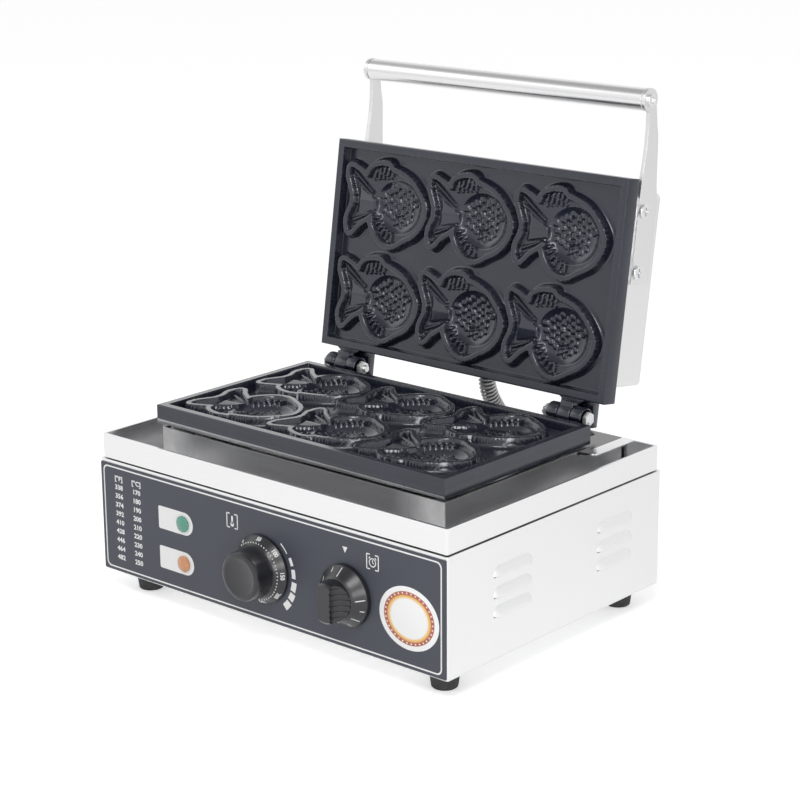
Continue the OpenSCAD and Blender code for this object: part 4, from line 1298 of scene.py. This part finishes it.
class COOKER_OT_fasteners(bpy.types.Operator):
    """Sets the screws of the cover and the arms, the bar's end screws and the hinge bolts"""

    bl_idname = "cooker.fasteners"
    bl_label = "Fasteners"
    bl_options = {"REGISTER", "UNDO"}

    def execute(self, context):
        self.plated = plated_metal("plated_steel", rgb(context.scene.cooker_steel.plated), 0.22)
        self.tree = copies_tree()
        self.arm_screws()
        self.cover_screws()
        self.end_screws()
        self.hinge_bolts()
        return {"FINISHED"}

    def copies(self, name, shape, turn, places, node):
        """One turned shape at each place on the lid, as one mesh."""
        pattern = make_object("pattern", shape.moved(turn), self.plated)
        base = make_object("places", Shape(LID @ (Vector(p) * MM) for p in places))
        piece = grow(name, base, self.tree, {"Shape": pattern, "Material": self.plated})
        drop(pattern)
        seat(piece, "lid", "plated_steel", node)

    def single(self, name, shape, body, node):
        """A shape as one piece."""
        seat(make_object(name, shape, self.plated), body, "plated_steel", node)

    def arm_screws(self):
        """Two cross-headed screws in each arm, with their nuts inside the cover."""
        screw = pan_head(6 * MM, 3.4 * MM).add(hexagon(4.8 * MM, -8.2 * MM, -4.2 * MM))
        for side, name in SIDES:
            turn = Matrix.Rotation(-LEAN, 4, "X") @ Matrix.Rotation(side * math.pi / 2, 4, "Y")
            places = [(side * ARM_OUT, 33.5, up) for up in (106.7, 157)]
            self.copies("arm_screw_heads_" + name, screw, turn, places, "arm_screws_" + name)

    def cover_screws(self):
        turn = Matrix.Rotation(-LEAN, 4, "X") @ Matrix.Rotation(-math.pi / 2, 4, "X")
        places = [(x, 61, up) for x in (-100, 100) for up in (40, 145)]
        head = pan_head(4.8 * MM, 2.8 * MM)
        self.copies("cover_screw_heads", head, turn, places, "cover_screws")

    def end_screws(self):
        """A socket screw in each end of the bar."""
        r, h, shank, edge = 5.2 * MM, 2.4 * MM, 3 * MM, 0.7 * MM
        profile = [(0, SHANK_FOOT), (shank, SHANK_FOOT), (shank, 0), (r, 0)]
        profile += [(r, h - edge), (r - edge, h), (0, h)]
        socket = prism(arc((0, 0), 2.9 * MM, 0, 300, 5), -1.6 * MM, 1.6 * MM)
        head = cut(lathe(profile, 40), socket, h)
        whole = Shape()
        for side in (1, -1):
            place = LID @ Matrix.Translation(Vector((side * ARM_OUT, 27.4, 247)) * MM)
            whole.add(head, place @ Matrix.Rotation(side * math.pi / 2, 4, "Y"))
        self.single("bar_end_screws", whole, "lid", "handle_end_screws")

    def hinge_bolts(self):
        """A hexagon bolt with its thread showing past its nut."""
        r, root = BOLT_R * MM, (BOLT_R - THREAD_DEPTH) * MM
        bolt = hexagon(BOLT_HEAD_R * MM, LUG_OUT * MM, (LUG_OUT + 4) * MM)
        bolt.add(pin(r, (LUG_IN - 1) * MM, LUG_OUT * MM, 32))
        start = LUG_IN - 8
        thread = [(r if i % 2 else root, (start + HALF_PITCH * i) * MM) for i in range(24)]
        bolt.add(lathe([(0, thread[0][1]), *thread, (0, thread[-1][1])], 32))
        nut = hexagon(BOLT_HEAD_R * MM, (LUG_IN - 5) * MM, LUG_IN * MM)
        for side, name in SIDES:
            place = Matrix.Translation(HINGE) @ Matrix.Rotation(side * math.pi / 2, 4, "Y")
            self.single("hinge_bolt_shank_" + name, bolt.moved(place), "base", "hinge_bolt_" + name)
            self.single("hinge_nut_ring_" + name, nut.moved(place), "base", "hinge_nut_" + name)


# Control panel


LAMP_X = -90.5
LAMP_Z = (81.1, 46.5)
INK_T = 0.06
SCALE_BARS = (
    (52, 35, 31.9, 32.9), (28, 16.5, 31.9, 34.9), (11.5, -1.5, 31.5, 35.5),
    (-6.5, -20, 31.6, 36.8), (-23, -34, 32.3, 37.9), (-37.5, -49.5, 32.6, 38.6),
)
PANEL_SINK = 0.02
BORDER = (-186.4, 23.0, 185.2, 113.2)
LABEL_AT = (153, 60.8)
LABEL_DOTS = 34
# Hands and bells of the clock sign: from, to and width
CLOCK_STROKES = (
    ((0, -0.4), (0, 1.4), 0.6), ((0, -0.4), (1.2, -1.1), 0.6), ((-3.2, 2.1), (-2, 3.3), 0.7),
    ((2, 3.3), (3.2, 2.1), 0.7),
)


def drawn_at(x, y, z):
    """From a drawing in millimetres to an upright plane: its Z points out of the panel."""
    upright = Matrix.Rotation(math.pi / 2, 4, "X") @ Matrix.Scale(MM, 4)
    return Matrix.Translation((x, y, z)) @ upright


def on_panel(x, z, lift=0.0):
    """Place of a mark on the panel's face, in millimetres."""
    return drawn_at(x * MM, PANEL[0].y + (PANEL_SINK - lift) * MM, z * MM)


def inked(outline):
    """An outline as a layer of ink."""
    return prism(outline, 0, INK_T)


def stroke(start, end, width):
    """Outline of a straight line of that width."""
    x, y = end[0] - start[0], end[1] - start[1]
    half = width / 2 / math.hypot(x, y)
    points = [(start, -half), (end, -half), (end, half), (start, half)]
    return [(px - y * side, py + x * side) for (px, py), side in points]


class COOKER_OT_panel(bpy.types.Operator):
    """Prints the border, the table of figures, the signs and the scale on the panel"""

    bl_idname = "cooker.panel"
    bl_label = "Printed Panel"
    bl_options = {"REGISTER", "UNDO"}

    def execute(self, context):
        look = context.scene.cooker_panel
        paint(printed_overlay("panel_overlay", rgb(look.overlay)), "control_panel")
        ink = printed_ink("panel_ink", rgb(look.ink))
        marks = self.border(look.line / MM)
        for part in (self.table(look.figure / MM), self.signs(), self.scale()):
            marks.add(part)
        seat(make_object("panel_print", marks, ink), "base", "overlay")
        plates = Shape()
        for z in LAMP_Z:
            outline = arc((-28, -8.3), 1.5, 180, 270, 5) + arc((1.1, 0), 9.8, -90, 90, 24)
            outline += arc((-28, 8.3), 1.5, 90, 180, 5)
            plates.add(inked(outline), on_panel(LAMP_X, z))
        seat(make_object("lamp_plates", plates, ink), "base", "overlay")
        self.label(look.sticker_width / MM / 2, look.sticker_height / MM / 2)
        return {"FINISHED"}

    def border(self, width):
        x0, z0, x1, z1 = BORDER
        inner = rounded_box(x0 + width, z0 + width, x1 - width, z1 - width, 4.2)
        return frame_prism(rounded_box(*BORDER, 5.0), inner, 0, INK_T).moved(on_panel(0, 0))

    def table(self, height):
        """Two columns of temperatures, in both scales."""
        shape = Shape()
        celsius = range(170, 260, 10)
        fahrenheit = [round(c * 9 / 5 + 32) for c in celsius]
        for x, words in ((-167.9, ["[°F]", *fahrenheit]), (-146.4, ["[°C]", *celsius])):
            for i, word in enumerate(words):
                place = on_panel(x, 103.3 - 7.74 * i, 0.05)
                shape.add(lettering(str(word), height, place, 1.12, 0.03, 0.17))
        return shape

    def signs(self):
        """A thermometer, a clock and a pointer, each a plain sign."""
        brackets = []
        for side in (1, -1):
            hook = [(side * 2.2, 5), (side * 5, 5), (side * 5, -5), (side * 2.2, -5)]
            brackets += [inked(stroke(a, b, 0.8)) for a, b in zip(hook, hook[1:])]
        bulb, stem = arc((0, -2.4), 1.7, 0, 360, 20)[:-1], rounded_box(-0.8, -2.5, 0.8, 3.6, 0.75)
        rim = [arc((0, -0.4), radius, 0, 345, 23) for radius in (3.1, 2.4)]
        clock = [frame_prism(*rim, 0, INK_T), *(inked(stroke(*line)) for line in CLOCK_STROKES)]
        shape = inked([(0, -2.6), (2.6, 2.5), (-2.6, 2.5)]).moved(on_panel(88.5, 100.6))
        for x, z, parts in ((-33.6, 96.5, [inked(bulb), inked(stem)]), (116.7, 97.2, clock)):
            for part in brackets + parts:
                shape.add(part, on_panel(x, z) @ Matrix.Diagonal((1.18, 1.18, 1, 1)))
        return shape

    def scale(self):
        """Six bars round the thermostat that grow wider."""
        shape = Shape()
        for start, end, inner, outer in SCALE_BARS:
            band = arc((0, 0), outer, end, start, 6) + arc((0, 0), inner, start, end, 6)
            shape.add(inked(band), on_panel(THERMOSTAT.x / MM, THERMOSTAT.z / MM))
        return shape

    def label(self, wide, high):
        """Round label with coloured rings, its middle left bare."""
        top = wide - 0.1
        disc = lathe([(0, 0), (top, 0), (wide, 0.03), (wide, 0.1), (top, 0.13), (0, 0.13)], 72)
        disc = disc.moved(on_panel(*LABEL_AT) @ Matrix.Diagonal((1, high / wide, 1, 1)))
        seat(make_object("round_label", disc, round_label(wide, high)), "base", "overlay")


def round_label(wide, high):
    """White paper with an amber ring inside a red one, dotted in white."""
    paper, red, amber = (0.9, 0.9, 0.9), (0.42, 0.1, 0.06), (0.85, 0.5, 0.12)
    f = Finish("label_paper", paper, 0.35, Coat_Weight=0.3, Coat_Roughness=0.15)
    middle = f.out(
        "ShaderNodeMapping",
        {
            "Vector": f.coords,
            "Location": (-LABEL_AT[0] / wide, 0, -LABEL_AT[1] / high),
            "Scale": (1 / (wide * MM), 1, 1 / (high * MM)),
        },
    )
    x, _, z = f.axes(middle)
    r = f.math("SQRT", f.math("ADD", f.times(x, x), f.times(z, z)))
    wave = f.math("COSINE", f.times(f.math("ARCTAN2", z, x), LABEL_DOTS))
    off = f.math("ABSOLUTE", f.math("DIVIDE", f.math("SUBTRACT", r, 0.79), 0.045))
    band = f.math("MAXIMUM", f.math("SUBTRACT", 1.0, off), 0.0)
    f.put(Base_Color=f.mix(f.spread(r, 0.0, 1.0, 0.6, 0.68), paper, amber))
    f.lay(f.spread(r, 0.0, 1.0, 0.7, 0.75), red)
    f.lay(f.spread(f.times(wave, band), 0.0, 1.0, 0.25, 0.5), (0.85, 0.75, 0.7))
    f.lay(f.spread(r, 0.0, 1.0, 0.84, 0.85), paper)
    f.put(Roughness=f.spread(f.noise(500), 0.3, 0.42))
    return f.material


# Dials


SKIRT_SLOPE = math.atan2(5.8, 5.2)
FIRST_FIGURE = 130
FIGURE_STEP = 42.5
DOT_RING = 23.3
TIMER_SLOPE = math.atan2(8.0, 6.7)
TIMER_TICKS = (
    (140, 17.8, 21.2), (112, 21, 23.6), (89, 18.3, 23.8), (6.5, 18.7, 23.8), (-17, 21.4, 23.8),
    (-42, 18.8, 23.8), (-67, 21, 23.6), (-94, 19.2, 21.6),
)


def on_dial(centre):
    """From a dial's drawing, in millimetres, to the row."""
    return drawn_at(centre.x, PANEL[0].y - 0.3 * MM, centre.z)


def skirt_height(radius):
    """How far the thermostat's skirt stands off the panel there."""
    return 3.2 + (27.6 - radius) * math.tan(SKIRT_SLOPE)


def on_skirt(radius, height, angle, slope):
    """Place of a figure on a cone: its foot towards the middle, flat on the slope."""
    turn = math.radians(angle)
    spot = Matrix.Translation((radius * math.cos(turn), radius * math.sin(turn), height))
    return spot @ Matrix.Rotation(turn - math.pi / 2, 4, "Z") @ Matrix.Rotation(-slope, 4, "X")


class COOKER_OT_dials(bpy.types.Operator):
    """Turns the two dials and prints their figures and ticks"""

    bl_idname = "cooker.dials"
    bl_label = "Dials"
    bl_options = {"REGISTER", "UNDO"}

    def execute(self, context):
        look = context.scene.cooker_dials
        plastic = moulded_plastic("dial_plastic", rgb(look.plastic), 0.3, coat=0.35)
        for name in ("thermostat", "timer"):
            soften(name + "_knob", plastic, name + "_dial", "knob")
        self.ink = printed_ink("dial_ink", (0.8, 0.8, 0.8))
        self.figures(look.figure / MM)
        self.dots(look.dots)
        self.timer_ticks()
        return {"FINISHED"}

    def mark(self, name, shape, centre, body):
        """Prints a dial's drawing on it."""
        piece = make_object(name, shape.moved(on_dial(centre)), self.ink)
        seat(piece, body, "overlay")

    def figures(self, height):
        """Six figures round the thermostat's skirt."""
        shape = Shape()
        for i in range(6):
            angle = FIRST_FIGURE - FIGURE_STEP * i
            spot = on_skirt(26.1, skirt_height(26.1), angle, SKIRT_SLOPE)
            shape.add(lettering(str(50 * i), height, spot, 0.95, 0.12, 0.14))
        self.mark("thermostat_figures", shape, THERMOSTAT, "thermostat_dial")

    def dots(self, dots):
        """A ring of dots inside the figures."""
        pattern = make_object("dot", block((-0.85, -0.5, -0.3), (0.85, 0.5, 0.15)), self.ink)
        inputs = {
            "Count": 5 * dots + 1,
            "Radius": DOT_RING,
            "First Angle": math.radians(FIRST_FIGURE),
            "Step": -math.radians(FIGURE_STEP / dots),
            "Shape": pattern,
            "Material": self.ink,
        }
        ring = grow("dots", make_object("base", Shape()), ring_tree(), inputs)
        shape = Shape.of(ring.data).moved(Matrix.Translation((0, 0, skirt_height(DOT_RING))))
        drop(ring, pattern)
        self.mark("thermostat_dots", shape, THERMOSTAT, "thermostat_dial")

    def timer_ticks(self):
        """Ticks on the timer's skirt, each along its slope."""
        shape = Shape()
        for angle, start, end in TIMER_TICKS:
            middle, half = (start + end) / 2, (end - start) / 2 / math.cos(TIMER_SLOPE)
            height = 12.4 - (middle - 17.4) * math.tan(TIMER_SLOPE)
            tick = bevelled(block((-0.38, -half, -0.1), (0.38, half, 0.1)), 0.05, 1)
            shape.add(tick, on_skirt(middle, height, angle, TIMER_SLOPE))
        self.mark("timer_ticks", shape, TIMER, "timer_dial")


# Finishes of the frame's own pieces


def paint(material, *nodes):
    """Gives frame pieces a material in place of their plain one."""
    for name in nodes:
        materials = frame["nodes"][name].data.materials
        materials.clear()
        materials.append(material)


class COOKER_OT_sheet_metal(bpy.types.Operator):
    """Finishes the box, the tray, the upstand, the cover and the handle"""

    bl_idname = "cooker.sheet_metal"
    bl_label = "Sheet Metal"
    bl_options = {"REGISTER", "UNDO"}

    def execute(self, context):
        steel = context.scene.cooker_steel
        colour, rough = rgb(steel.sheet), steel.roughness
        upright = sheet_steel("sheet_upright", scaled(colour, 0.92), rough, (1, 1, 0.02))
        for finish, nodes in (
            (sheet_steel("sheet_along", colour, rough, GRAIN_LEVEL), ("housing", "bottom_plate")),
            (sheet_steel("sheet_cover", scaled(colour, 0.95), rough, GRAIN_LEVEL), ("lid_cover",)),
            (tray_steel("sheet_tray", colour, rough - 0.1), ("drip_tray",)),
            (upstand_steel("sheet_upstand", rgb(steel.upstand), colour, rough - 0.08), ("plinth",)),
            (upright, ("handle_arm_left", "handle_arm_right")),
        ):
            paint(finish.material, *nodes)
        bar_steel = sheet_steel("bar_steel", scaled(colour, 0.96), 0.24, (0.02, 1, 1), 0)
        soften("handle_bar", bar_steel.material, "lid", "handle_steel")
        return {"FINISHED"}


class COOKER_OT_small_parts(bpy.types.Operator):
    """Finishes the lamps, the feet, the glands, the elements and what is inside"""

    bl_idname = "cooker.small_parts"
    bl_label = "Small Parts"
    bl_options = {"REGISTER", "UNDO"}

    def execute(self, context):
        panel = context.scene.cooker_panel
        for name, colour in (("power", "green"), ("heat", "orange")):
            lens = clear_lens(colour + "_lens", rgb(getattr(panel, colour)))
            soften(name + "_lamp_lens", lens, "base", colour + "_lens")
        paint(
            bpy.data.materials.get("plated_steel"), "power_lamp_body", "heat_lamp_body",
            "plate_posts", "dial_screws", "foot_screws", "bottom_screws", "cover_posts",
            "thermostat_shaft", "timer_shaft",
        )
        paint(
            soft_rubber("foot_rubber", (0.05, 0.05, 0.052)), "foot_front_left",
            "foot_front_right", "foot_rear_left", "foot_rear_right",
        )
        nylon = moulded_plastic("gland_nylon", (0.02, 0.02, 0.021), 0.45)
        paint(nylon, "mains_gland", "lid_gland", "base_gland")
        paint(heated_steel("heater_tube", (0.3, 0.27, 0.25)), "lower_heater", "upper_heater")
        paint(plated_metal("bulb_copper", (0.72, 0.42, 0.28), 0.35), "sensor_bulb")
        body = moulded_plastic("control_body", (0.7, 0.69, 0.63), 0.5)
        paint(body, "thermostat_body", "timer_body", "terminal_block")
        return {"FINISHED"}


class COOKER_PT_panel(bpy.types.Panel):
    """Lists the cooker's pieces and their settings"""

    bl_idname = "COOKER_PT_panel"
    bl_label = "Fish Cake Cooker"
    bl_space_type = "VIEW_3D"
    bl_region_type = "UI"
    bl_category = "Cooker"

    def draw(self, context):
        layout = self.layout
        for step in STEPS:
            layout.operator(step.bl_idname)
        for name, group in SETTINGS.items():
            box = layout.box()
            box.label(text=group.__name__)
            for prop in group.__annotations__:
                box.prop(getattr(context.scene, name), prop)


STEPS = (
    COOKER_OT_stage,
    COOKER_OT_conduit,
    COOKER_OT_moulds,
    COOKER_OT_fasteners,
    COOKER_OT_panel,
    COOKER_OT_dials,
    COOKER_OT_sheet_metal,
    COOKER_OT_small_parts,
)
CLASSES = (*SETTINGS.values(), *STEPS, COOKER_PT_panel)


def register():
    for cls in CLASSES:
        bpy.utils.register_class(cls)
    for name, group in SETTINGS.items():
        setattr(bpy.types.Scene, name, bpy.props.PointerProperty(type=group))


def unregister():
    for name in SETTINGS:
        delattr(bpy.types.Scene, name)
    for cls in reversed(CLASSES):
        bpy.utils.unregister_class(cls)


def main():
    """Builds every piece in order."""
    register()
    bpy.ops.cooker.stage()
    bpy.ops.cooker.conduit()
    bpy.ops.cooker.moulds()
    bpy.ops.cooker.fasteners()
    bpy.ops.cooker.panel()
    bpy.ops.cooker.dials()
    bpy.ops.cooker.sheet_metal()
    bpy.ops.cooker.small_parts()


if __name__ == "__main__":
    main()
